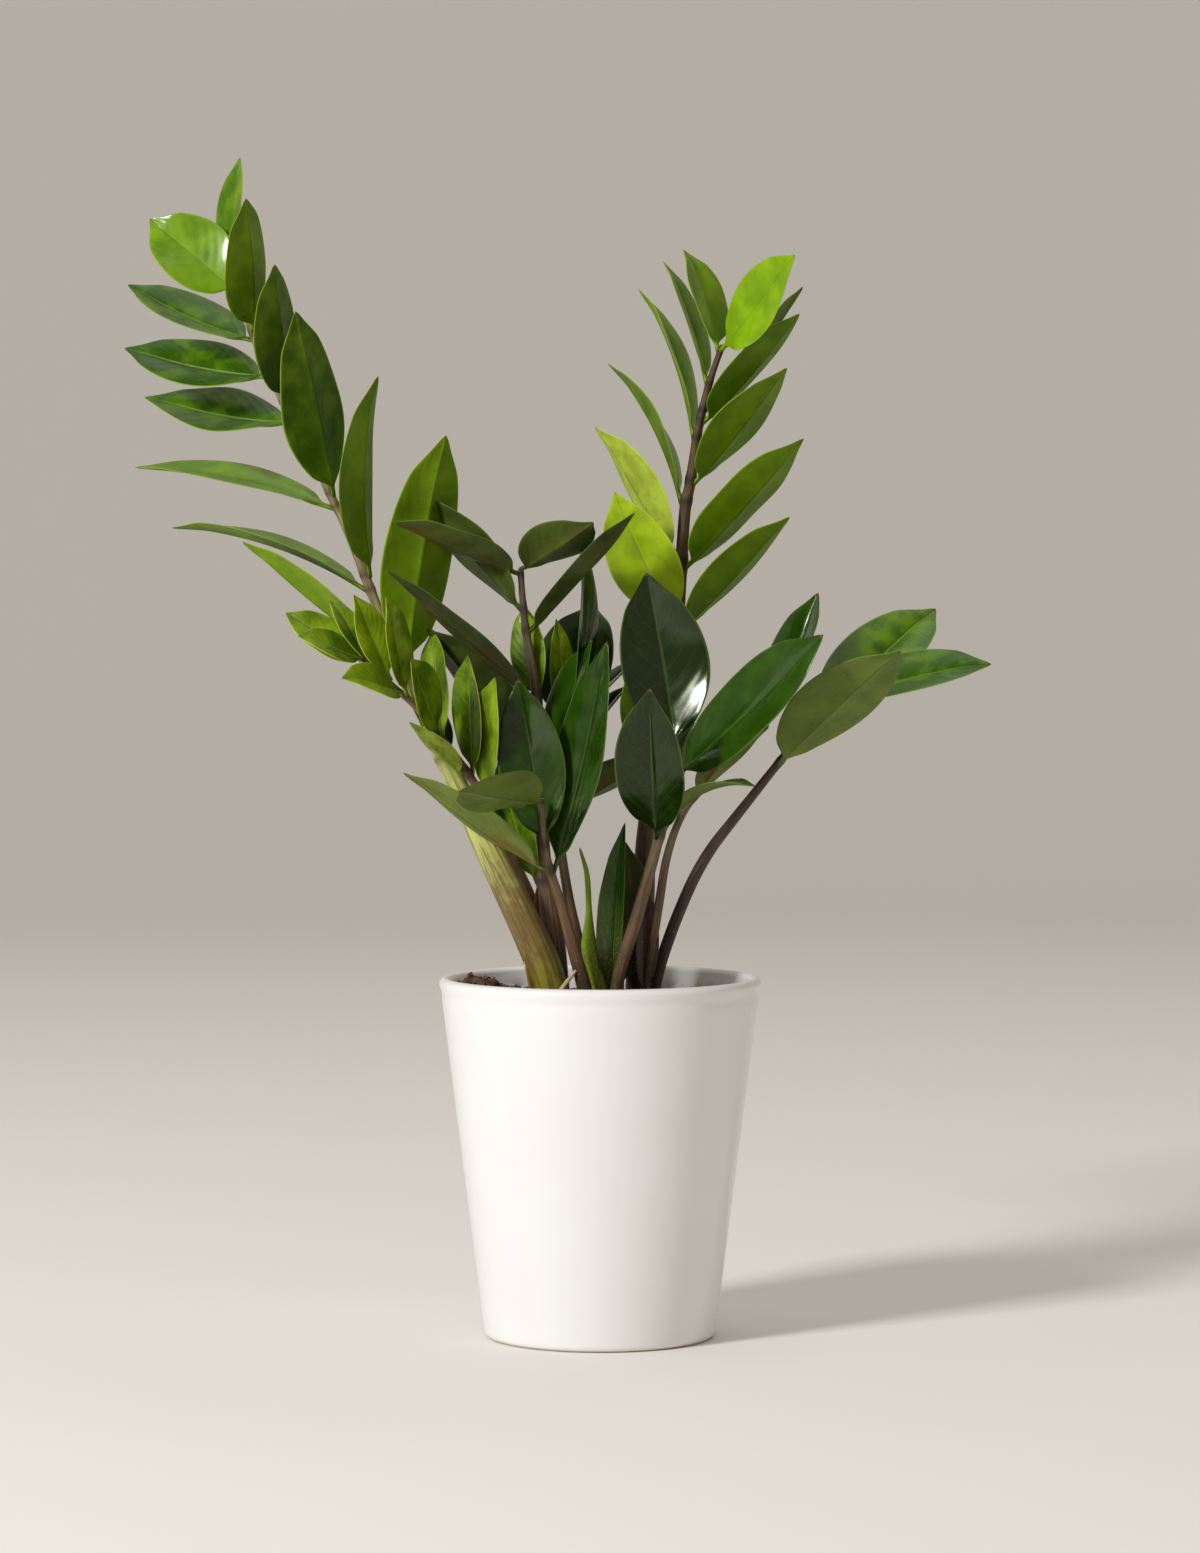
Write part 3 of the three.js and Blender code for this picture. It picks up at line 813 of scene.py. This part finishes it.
MATERIALS["green_stalk"] = stalk_material(
    "green_stalk", rgb(140, 132, 36), rgb(122, 98, 52), rgb(190, 192, 108), rgb(160, 140, 108),
    rgb(84, 64, 26), rgb(84, 64, 40), 0.62)
MATERIALS["pinkish_stalk"] = stalk_material(
    "pinkish_stalk", rgb(134, 96, 72), rgb(138, 98, 74), rgb(152, 114, 92), rgb(150, 130, 92),
    rgb(90, 62, 46), rgb(70, 50, 38), 0.5)
MATERIALS["dark_stalk"] = stalk_material(
    "dark_stalk", rgb(60, 46, 34), rgb(70, 52, 40), rgb(84, 64, 48), rgb(106, 82, 56),
    rgb(38, 28, 24), rgb(30, 24, 20), 0.7)
MATERIALS["grey_brown_stalk"] = stalk_material(
    "grey_brown_stalk", rgb(70, 56, 34), rgb(118, 88, 62), rgb(112, 100, 68), rgb(104, 86, 64),
    rgb(56, 46, 30), rgb(44, 36, 26), 0.65)
# Dry plant matter at the foot has no slot in the record, because no solid is made of it.
MATERIALS["dry_straw"] = stalk_material(
    "dry_straw", rgb(214, 192, 150), rgb(206, 178, 134), rgb(200, 170, 126), rgb(200, 170, 126),
    rgb(158, 118, 78), rgb(150, 110, 72), 0.5)
print("stalk finishes ready")

# %% [markdown]
# ## The stalks
# A stalk is a round section swept along a line, and that is what the Curve to Mesh node does. The
# line is a string of points with three attributes: thick is the radius, scar marks the leaf joints
# and length is the distance from the foot. The node tree turns the string into a curve, sweeps a
# circle along it, and keeps the attributes for the finish. Where a leaflet joins, the stalk swells.

# %% Stalk tree
JOINT_REACH = 2.2 * MM  # how far a scar runs along the stalk
JOINT_SWELL = 0.16  # how much thicker the stalk is at a joint


def new_tree(label, inputs):
    """A geometry tree with its named inputs, and the nodes where they arrive and the result leaves."""
    tree = bpy.data.node_groups.new(label, "GeometryNodeTree")
    tree.interface.new_socket("Geometry", in_out="INPUT", socket_type="NodeSocketGeometry")
    for name, kind in inputs.items():
        tree.interface.new_socket(name, in_out="INPUT", socket_type="NodeSocket" + kind)
    tree.interface.new_socket("Geometry", in_out="OUTPUT", socket_type="NodeSocketGeometry")
    return tree, tree.nodes.new("NodeGroupInput"), tree.nodes.new("NodeGroupOutput")


def end_tree(tree, given, sent, shape):
    """Makes instances real and gives the result its finish."""
    real = add_node(tree, "GeometryNodeRealizeInstances", {"Geometry": shape})
    painted = add_node(tree, "GeometryNodeSetMaterial", {
        "Geometry": real.outputs[0], "Material": given.outputs["Finish"]})
    tree.links.new(painted.outputs[0], sent.inputs["Geometry"])


def build_stalk_tree():
    tree, given, sent = new_tree("stalk_sweep", {"Sides": "Int", "Flute": "Float", "Finish": "Material"})
    line = add_node(tree, "GeometryNodeMeshToCurve", {"Mesh": given.outputs["Geometry"]})
    circle = add_node(tree, "GeometryNodeCurvePrimitiveCircle", {
        "Resolution": given.outputs["Sides"], "Radius": 1.0})
    way = add_node(tree, "GeometryNodeSplineParameter").outputs["Factor"]
    turn = calculate(tree, "MULTIPLY", way, 2 * math.pi)
    # Shallow lengthwise flutes keep a fleshy stalk from looking like a turned rod.
    ripples = calculate(tree, "SINE", calculate(tree, "MULTIPLY", turn, 5.0))
    wobble = calculate(tree, "MULTIPLY", ripples, given.outputs["Flute"])
    position = add_node(tree, "GeometryNodeInputPosition").outputs[0]
    reach = calculate(tree, "ADD", wobble, 1.0)
    fluted = add_node(tree, "ShaderNodeVectorMath", {0: position, "Scale": reach}, operation="SCALE")
    profile = add_node(tree, "GeometryNodeSetPosition", {
        "Geometry": circle.outputs["Curve"], "Position": fluted.outputs[0]})
    around = add_node(tree, "ShaderNodeCombineXYZ", {"X": calculate(tree, "COSINE", turn),
                                                     "Y": calculate(tree, "SINE", turn)})
    profile = add_node(tree, "GeometryNodeStoreNamedAttribute", {
        "Geometry": profile.outputs[0], "Name": "around", "Value": around.outputs[0]},
        data_type="FLOAT_VECTOR", domain="POINT")
    thick = add_node(tree, "GeometryNodeInputNamedAttribute", {"Name": "thick"}, data_type="FLOAT")
    swept = add_node(tree, "GeometryNodeCurveToMesh", {
        "Curve": line.outputs[0], "Profile Curve": profile.outputs[0], "Scale": thick.outputs[0],
        "Fill Caps": True})
    way_round = add_node(tree, "GeometryNodeInputNamedAttribute", {"Name": "around"},
                         data_type="FLOAT_VECTOR")
    length = add_node(tree, "GeometryNodeInputNamedAttribute", {"Name": "length"}, data_type="FLOAT")
    along = add_node(tree, "ShaderNodeCombineXYZ", {"Z": length.outputs[0]})
    skin = add_node(tree, "ShaderNodeVectorMath", {0: way_round.outputs[0], 1: along.outputs[0]},
                    operation="ADD")
    stored = add_node(tree, "GeometryNodeStoreNamedAttribute", {
        "Geometry": swept.outputs[0], "Name": "skin", "Value": skin.outputs[0]},
        data_type="FLOAT_VECTOR", domain="POINT")
    end_tree(tree, given, sent, stored.outputs[0])
    return tree


STALK_TREE = build_stalk_tree()


def socket_id(tree, name):
    """A modifier's input is set by the socket's identifier, which differs from its name."""
    return next(item.identifier for item in tree.interface.items_tree
                if item.name == name and item.in_out == "INPUT")


def apply_tree(source, tree, values):
    """Runs a geometry tree on an object and gives back its result as a plain mesh."""
    modifier = source.modifiers.new("grow", "NODES")
    modifier.node_group = tree
    for name, value in values.items():
        modifier[socket_id(tree, name)] = value
    ready = source.evaluated_get(bpy.context.evaluated_depsgraph_get())
    mesh = bpy.data.meshes.new_from_object(ready)
    source.modifiers.remove(modifier)
    return mesh


# %% Grow the stalks
STALK_SIDES = 32
STALK_FLUTE = 0.025


def scars_on(path, frond):
    """How strongly each point of a stalk is marked by a leaf joint, from 0 to 1."""
    marks = np.zeros(len(path))
    for leaflet in leaflets:
        if leaflet.frond == frond:
            at = np.linalg.norm(path[:, :3] - leaflet.base, axis=1).argmin()
            away = np.linalg.norm(path[:, :3] - path[at, :3], axis=1)
            marks = np.maximum(marks, np.exp(-(away / JOINT_REACH) ** 2))
    return marks


def string_of(name, path, scars):
    """A string of points with the attributes that the stalk tree reads."""
    mesh = bpy.data.meshes.new(name)
    mesh.from_pydata([tuple(p) for p in path[:, :3]], [(i, i + 1) for i in range(len(path) - 1)], [])
    travel = np.append(0, np.cumsum(np.linalg.norm(np.diff(path[:, :3], axis=0), axis=1)))
    ends = np.sqrt(np.clip(1 - np.clip(1 - (travel[-1] - travel) / path[-1, 3], 0, 0.9) ** 2, 0, 1))
    thick = path[:, 3] * (1 + JOINT_SWELL * scars) * ends
    for key, values in {"thick": thick, "scar": scars * 0.8, "length": travel * 10}.items():
        mesh.attributes.new(key, "FLOAT", "POINT").data.foreach_set("value", values)
    return add_object(name, mesh)


def grow_stalk(name, path, scars, slot, node=None):
    string = string_of(name + "_line", path, scars)
    values = {"Sides": STALK_SIDES, "Flute": STALK_FLUTE, "Finish": MATERIALS[slot]}
    mesh = apply_tree(string, STALK_TREE, values)
    bpy.data.objects.remove(string)
    mesh.name = name
    mesh.shade_smooth()
    stem = add_object(name, mesh)
    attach(stem, BODY)
    if node:
        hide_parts(node)
    return stem


stems = []
for frond in FRONDS:
    path, node = stalk_paths[frond], frond + "_stalk"
    stems.append(grow_stalk(frond + "_stem", path, scars_on(path, frond), SLOT_OF[node], node))
print("stems:", len(stems), "with", sum(len(s.data.polygons) for s in stems), "faces")

# %% [markdown]
# ## Shoots, sheaths and a straw
# At the foot of the plant young shoots are still opening, with their leaflets folded lengthwise, and
# old stalks keep a dry sheath at their base. Both are the same blade as before with a stronger fold.
# The youngest shoot is only a spike, which is a stalk that swells and then runs out to a point, and
# a bit of straw is a very thin stalk.

# %% Shoots
FOLDED_BLADES = [
    # name, foot, tip, width, turn, arch, finish, fold
    ("rolled_shoot", (5, -8, 136), (10, -9, 215), 12, -24, 0.03, "deep_green_leaf", 0.9),
    ("dark_shoot", (9, 0, 146), (10, 3, 207), 24, 165, 0.02, "deep_green_leaf", 0.3),
    ("dry_sheath", (-25, -8, 141), (-31, -13, 158), 9, 25, 0.05, "dry_straw", 0.6),
    ("brown_sheath", (-24, 7, 134), (-22, 3, 200), 13, 4, -0.02, "pinkish_stalk", 0.5),
    ("dark_sheath", (18, -5, 143), (20, -3, 187), 10, 10, 0.0, "dark_stalk", 0.5),
]
SPIKE = [
    # x, y, z, radius
    (2, -9, 138, 3.0), (-1.6, -9, 152, 3.2), (-4.2, -9, 162, 3.5), (-4.6, -9, 169, 2.5),
    (-4.6, -8, 179, 1.3), (-5.4, -7, 193, 1.1), (-8.4, -6, 204, 0.5),
]
STRAW = [(-21.5, -25, 139, 0.7), (-15, -24, 148, 0.9), (-9.8, -23, 154.6, 0.6)]


def make_folded(name, foot, tip, width, turn, arch, slot, fold):
    line = free_leaflet(name, None, slot, np.array(foot) * MM, np.array(tip) * MM, width * MM, turn, arch)
    return make_blade(line, fold=fold)


def grow_spike(name, rows, slot):
    path = smooth_path(np.array(rows) * MM, 50)
    return grow_stalk(name, path, np.zeros(len(path)), slot)


folded = [make_folded(*row) for row in FOLDED_BLADES]
pointed = [grow_spike("shoot_spike", SPIKE, "green_leaf"), grow_spike("straw", STRAW, "dry_straw")]
print("folded blades:", len(folded), "and thin stalks:", len(pointed))

# %% [markdown]
# ## The pot
# The pot is turned: a taper with a soft rounded rim. A lathe is the natural way, with enough steps
# that its outline shows no corners. The glaze is nearly flawless white, with faint unevenness in its
# gloss, a bare unglazed ring underneath, and inside, above the mix, some smears of soil.

# %% Pot shape
POT_SIDES = 192
POT_WALL = 5.2 * MM
POT_FLOOR = 7 * MM
FOOT_ROUND = 3 * MM
RIM_BEAD = 0.3 * MM  # depth of the shallow neck under the rim
pot_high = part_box("pot")[1]
RIM_RADIUS = pot_high.x
POT_HEIGHT = pot_high.z
FOOT_RADIUS = 48 * MM


def wall_radius(height):
    return FOOT_RADIUS + (RIM_RADIUS - FOOT_RADIUS) * height / POT_HEIGHT


def arc_points(x, y, radius, start, end, steps):
    angles = np.radians(np.linspace(start, end, steps + 1))
    return [(x + radius * math.cos(a), y + radius * math.sin(a)) for a in angles]


def pot_profile():
    """Radius and height from the middle of the underside, up the outside, over the rim and down inside."""
    round_rim = POT_WALL / 2
    crest = POT_HEIGHT - round_rim
    foot = wall_radius(FOOT_ROUND) - FOOT_ROUND
    inside = wall_radius(POT_FLOOR + FOOT_ROUND) - POT_WALL - FOOT_ROUND
    outside = [(wall_radius(h), h) for h in np.linspace(FOOT_ROUND + 4 * MM, POT_HEIGHT - 12 * MM, 14)]
    neck = []
    for below_rim, share in ((9, 0.0), (7.5, 1.0), (6, 1.0), (4.6, 0.0)):
        height = POT_HEIGHT - below_rim * MM
        neck.append((wall_radius(height) - RIM_BEAD * share, height))
    lining = [(wall_radius(h) - POT_WALL, h) for h in np.linspace(POT_HEIGHT - 5 * MM, 2 * POT_FLOOR, 10)]
    return [
        (0, 0), (foot * 0.5, 0), *arc_points(foot, FOOT_ROUND, FOOT_ROUND, -90, 0, 6), *outside, *neck,
        *arc_points(RIM_RADIUS - round_rim, crest, round_rim, 0, 180, 14), *lining,
        *arc_points(inside, POT_FLOOR + FOOT_ROUND, FOOT_ROUND, 0, -90, 5),
        (inside * 0.5, POT_FLOOR), (0, POT_FLOOR),
    ]


def turn_on_lathe(name, profile, sides):
    """Turns a profile about Z. Its first and last points are on the axis, so the shape is closed."""
    verts = [(0, 0, profile[0][1]), (0, 0, profile[-1][1])]
    for radius, height in profile[1:-1]:
        verts += [(radius * math.cos(a), radius * math.sin(a), height)
                  for a in np.linspace(0, 2 * math.pi, sides, endpoint=False)]
    rows = len(profile) - 2
    faces = []
    for side in range(sides):
        after = (side + 1) % sides
        faces.append((0, 2 + after, 2 + side))
        faces.append((1, 2 + (rows - 1) * sides + side, 2 + (rows - 1) * sides + after))
        for row in range(rows - 1):
            low, high = 2 + row * sides, 2 + (row + 1) * sides
            faces.append((low + side, low + after, high + after, high + side))
    mesh = bpy.data.meshes.new(name)
    mesh.from_pydata(verts, [], faces)
    face_outwards(mesh)
    return add_object(name, mesh)


# %% Glaze
SMEAR_HEIGHTS = (0.139, 0.1475)  # smears are full at the mix and gone near the rim, in metres
BARE_HEIGHTS = (0.0004, 0.0012)  # the bare clay underneath ends between these


def glaze_material():
    material, tree, surface = new_material("white_glaze")
    place = add_node(tree, "ShaderNodeTexCoord").outputs["Object"]
    parts = add_node(tree, "ShaderNodeSeparateXYZ", {0: place})
    height = parts.outputs["Z"]
    flat = add_node(tree, "ShaderNodeCombineXYZ", {"X": parts.outputs["X"], "Y": parts.outputs["Y"]})
    radius = add_node(tree, "ShaderNodeVectorMath", {0: flat.outputs[0]}, operation="LENGTH").outputs["Value"]
    # The wall leans, so the middle of its thickness is further out the higher it is.
    lean = (RIM_RADIUS - FOOT_RADIUS) / POT_HEIGHT
    wall_middle = calculate(tree, "MULTIPLY_ADD", height, lean, FOOT_RADIUS - POT_WALL * 0.6)
    inside = calculate(tree, "LESS_THAN", radius, wall_middle)
    near_mix = fade(tree, height, *SMEAR_HEIGHTS, 1.0, 0.0)
    smears = mottle(tree, place, 95.0, 0.50, 0.62, 6.0)
    dust = mottle(tree, place, 700.0, 0.60, 0.66, 3.0)
    soiled = calculate(tree, "MULTIPLY", inside, near_mix)
    dirt = calculate(tree, "MULTIPLY", soiled, calculate(tree, "MAXIMUM", smears, dust))
    bare = calculate(tree, "MULTIPLY", fade(tree, height, *BARE_HEIGHTS, 1.0, 0.0),
                     fade(tree, radius, FOOT_RADIUS * 0.80, FOOT_RADIUS * 0.84))
    clouds = mottle(tree, place, 22.0, 0.35, 0.7)
    colour = mix_colours(tree, clouds, rgb(237, 235, 234), rgb(236, 233, 231))
    colour = mix_colours(tree, bare, colour, rgb(206, 190, 168))
    colour = lay_over(tree, colour, rgb(104, 76, 54), dirt, 0.7)
    tree.links.new(colour, surface.inputs["Base Color"])
    shine = mix_values(tree, clouds, 0.22, 0.26)
    shine = mix_values(tree, calculate(tree, "MAXIMUM", bare, dirt), shine, 0.8)
    tree.links.new(shine, surface.inputs["Roughness"])
    surface.inputs["IOR"].default_value = 1.5
    surface.inputs["Coat Weight"].default_value = 0.25
    surface.inputs["Coat Roughness"].default_value = 0.08
    ripple = add_node(tree, "ShaderNodeTexNoise", {"Vector": place, "Scale": 60.0, "Detail": 2.0})
    bump = add_node(tree, "ShaderNodeBump", {
        "Strength": 0.15, "Distance": 0.2 * MM, "Height": ripple.outputs["Fac"]})
    tree.links.new(bump.outputs["Normal"], surface.inputs["Normal"])
    return material


MATERIALS["white_glaze"] = glaze_material()
pot = turn_on_lathe("glazed_pot", pot_profile(), POT_SIDES)
pot.data.materials.append(MATERIALS["white_glaze"])
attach(pot, BODY)
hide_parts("pot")
print("pot faces:", len(pot.data.polygons))

# %% [markdown]
# ## The potting mix
# The bed of mix follows the top of its CAD solid, found by looking straight down on it, with small
# lumps added. Loose bark lies on it, in two sizes. A few bits could be placed by hand, but here there
# are thousands, so Geometry Nodes scatter them, and turn and stretch each copy from a fixed seed.


# %% Bed of mix
BED_RINGS = 40
BED_SIDES = 120
MIX_LEVEL = 140 * MM  # height at the middle, and wherever no top is found
LOWEST_TOP = 106.6 * MM  # a hit below this isn't on the top of the bed
mix_low, mix_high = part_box("potting_mix")


def top_finder(node):
    """A function that gives the height of a node's top at a place, or None past its side."""
    source = frame["nodes"][node].data
    tree = BVHTree.FromPolygons([v.co for v in source.vertices], [p.vertices[:] for p in source.polygons])
    down = Vector((0, 0, -1))

    def top(x, y):
        hit = tree.ray_cast(Vector((x, y, mix_high.z + 0.05)), down)[0]
        return hit.z if hit is not None and hit.z > LOWEST_TOP else None

    return top


HEAPS = [(-48, 12, 2.2, 14), (-22, 2, 2.5, 7), (29, 2, 2.0, 8)]  # x, y, height, half width


def lump(x, y):
    """Small heaps and hollows of loose mix."""
    heaps = sum(h * math.exp(-((x / MM - a)**2 + (y / MM - b)**2) / w**2) for a, b, h, w in HEAPS)
    broad = 0.7 * math.sin(x * 310 + 1.3) * math.cos(y * 270)
    fine = 0.5 * math.sin(x * 520 - y * 610)
    return (heaps + broad + fine) * MM


def make_bed():
    top = top_finder("potting_mix")
    edge = mix_high.x - 0.1 * MM
    verts, faces = [(0, 0, MIX_LEVEL)], []
    last = MIX_LEVEL
    for ring in range(1, BED_RINGS + 1):
        for side in range(BED_SIDES):
            angle = 2 * math.pi * side / BED_SIDES
            radius = edge * ring / BED_RINGS
            x, y = radius * math.cos(angle), radius * math.sin(angle)
            height = top(x * 0.97, y * 0.97)
            last = height if height else last
            verts.append((x, y, last + lump(x, y)))
    for ring in range(BED_RINGS):
        for side in range(BED_SIDES):
            after = (side + 1) % BED_SIDES
            outer = 1 + ring * BED_SIDES
            if ring == 0:
                faces.append((0, outer + side, outer + after))
            else:
                inner = outer - BED_SIDES
                faces.append((inner + side, outer + side, outer + after, inner + after))
    rim = 1 + (BED_RINGS - 1) * BED_SIDES
    foot = len(verts)
    foot_radius = wall_radius(mix_low.z + FOOT_ROUND) - POT_WALL - 1 * MM
    for side in range(BED_SIDES):
        angle = 2 * math.pi * side / BED_SIDES
        verts.append((foot_radius * math.cos(angle), foot_radius * math.sin(angle), mix_low.z + FOOT_ROUND))
    verts.append((0, 0, mix_low.z + 1 * MM))
    for side in range(BED_SIDES):
        after = (side + 1) % BED_SIDES
        faces.append((rim + side, foot + side, foot + after, rim + after))
        faces.append((foot + side, len(verts) - 1, foot + after))
    mesh = bpy.data.meshes.new("bark_mix")
    mesh.from_pydata(verts, [], faces)
    face_outwards(mesh)
    return add_object("bark_mix", mesh)


# %% Mix finish
def mix_material():
    material, tree, surface = new_material("potting_mix")
    place = add_node(tree, "ShaderNodeTexCoord").outputs["Object"]
    crumbs = add_node(tree, "ShaderNodeTexVoronoi", {"Vector": place, "Scale": 420.0})
    patches = mottle(tree, place, 160.0, 0.38, 0.62, 5.0)
    fibres = mottle(tree, place, 1300.0, 0.55, 0.70, 2.0)
    grey = add_node(tree, "ShaderNodeSeparateColor", {0: crumbs.outputs["Color"]}).outputs[0]
    colour = mix_colours(tree, grey, rgb(56, 38, 28), rgb(130, 92, 66))
    colour = lay_over(tree, colour, rgb(64, 42, 28), patches, 0.6)
    colour = lay_over(tree, colour, rgb(170, 122, 88), fibres, 0.5)
    tree.links.new(colour, surface.inputs["Base Color"])
    tree.links.new(mix_values(tree, patches, 0.75, 0.95), surface.inputs["Roughness"])
    height = calculate(tree, "ADD", crumbs.outputs["Distance"], fibres)
    bump = add_node(tree, "ShaderNodeBump", {"Strength": 0.9, "Distance": 0.6 * MM, "Height": height})
    tree.links.new(bump.outputs["Normal"], surface.inputs["Normal"])
    return material


MATERIALS["potting_mix"] = mix_material()
bed = make_bed()
bed.data.materials.append(MATERIALS["potting_mix"])
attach(bed, BODY)
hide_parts("potting_mix")
print("bed of mix faces:", len(bed.data.polygons))


# %% Scatter tree for bark
FULL_TURN = 6.283
MOST_SHRUNK = (0.5, 0.35, 0.25)  # a chip is stretched differently along, across and through
MOST_STRETCHED = (1.5, 0.9, 0.55)
STRETCH_SEED = 11
SIZE_SEED = 23


def build_scatter_tree():
    tree, given, sent = new_tree("bark_scatter", {
        "Spacing": "Float", "Density": "Float", "Smallest": "Float", "Largest": "Float",
        "Fineness": "Int", "Seed": "Int", "Finish": "Material"})
    normal = add_node(tree, "GeometryNodeInputNormal").outputs[0]
    rise = add_node(tree, "ShaderNodeSeparateXYZ", {0: normal}).outputs["Z"]
    facing_up = calculate(tree, "GREATER_THAN", rise, 0.5)
    spots = add_node(tree, "GeometryNodeDistributePointsOnFaces", {
        "Mesh": given.outputs["Geometry"], "Selection": facing_up, "Distance Min": given.outputs["Spacing"],
        "Density Max": given.outputs["Density"], "Seed": given.outputs["Seed"]}, distribute_method="POISSON")
    chip = add_node(tree, "GeometryNodeMeshIcoSphere", {
        "Radius": 1.0, "Subdivisions": given.outputs["Fineness"]})
    position = add_node(tree, "GeometryNodeInputPosition").outputs[0]
    rough = add_node(tree, "ShaderNodeTexNoise", {"Vector": position, "Scale": 1.6, "Detail": 2.0})
    dents = calculate(tree, "MULTIPLY_ADD", rough.outputs["Fac"], 1.3, 0.35)
    dented = add_node(tree, "ShaderNodeVectorMath", {0: position, "Scale": dents}, operation="SCALE")
    chip = add_node(tree, "GeometryNodeSetPosition", {
        "Geometry": chip.outputs["Mesh"], "Position": dented.outputs[0]})
    turn = add_node(tree, "FunctionNodeRandomValue", {
        0: (0.0, 0.0, 0.0), 1: (FULL_TURN, FULL_TURN, FULL_TURN), "Seed": given.outputs["Seed"]},
        data_type="FLOAT_VECTOR")
    stretch = add_node(tree, "FunctionNodeRandomValue", {
        0: MOST_SHRUNK, 1: MOST_STRETCHED, "Seed": STRETCH_SEED}, data_type="FLOAT_VECTOR")
    size = add_node(tree, "FunctionNodeRandomValue", {
        2: given.outputs["Smallest"], 3: given.outputs["Largest"], "Seed": SIZE_SEED}, data_type="FLOAT")
    scale = add_node(tree, "ShaderNodeVectorMath", {0: stretch.outputs[0], "Scale": size.outputs[1]},
                     operation="SCALE")
    placed = add_node(tree, "GeometryNodeInstanceOnPoints", {
        "Points": spots.outputs["Points"], "Instance": chip.outputs[0], "Rotation": turn.outputs[0],
        "Scale": scale.outputs[0]})
    end_tree(tree, given, sent, placed.outputs[0])
    return tree


SCATTER_TREE = build_scatter_tree()


# %% Bark
BARK = [
    # name, spacing in mm, most bits per square metre, smallest and largest in mm, fineness, seed
    ("bark_crumbs", 1.7, 300000, 0.5, 1.2, 1, 3),
    ("bark_chips", 5.0, 60000, 1.4, 3.0, 2, 8),
]


def scatter(name, spacing, density, smallest, largest, fineness, seed):
    """A fineness of 1 gives a piece of 20 faces, which is enough for a crumb, and 2 gives 80."""
    values = {"Spacing": spacing * MM, "Density": density, "Smallest": smallest * MM, "Largest": largest * MM,
              "Fineness": fineness, "Seed": seed, "Finish": MATERIALS["potting_mix"]}
    mesh = apply_tree(bed, SCATTER_TREE, values)
    mesh.name = name
    made = add_object(name, mesh)
    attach(made, BODY)
    print(name, "faces:", len(mesh.polygons))


for row in BARK:
    scatter(*row)
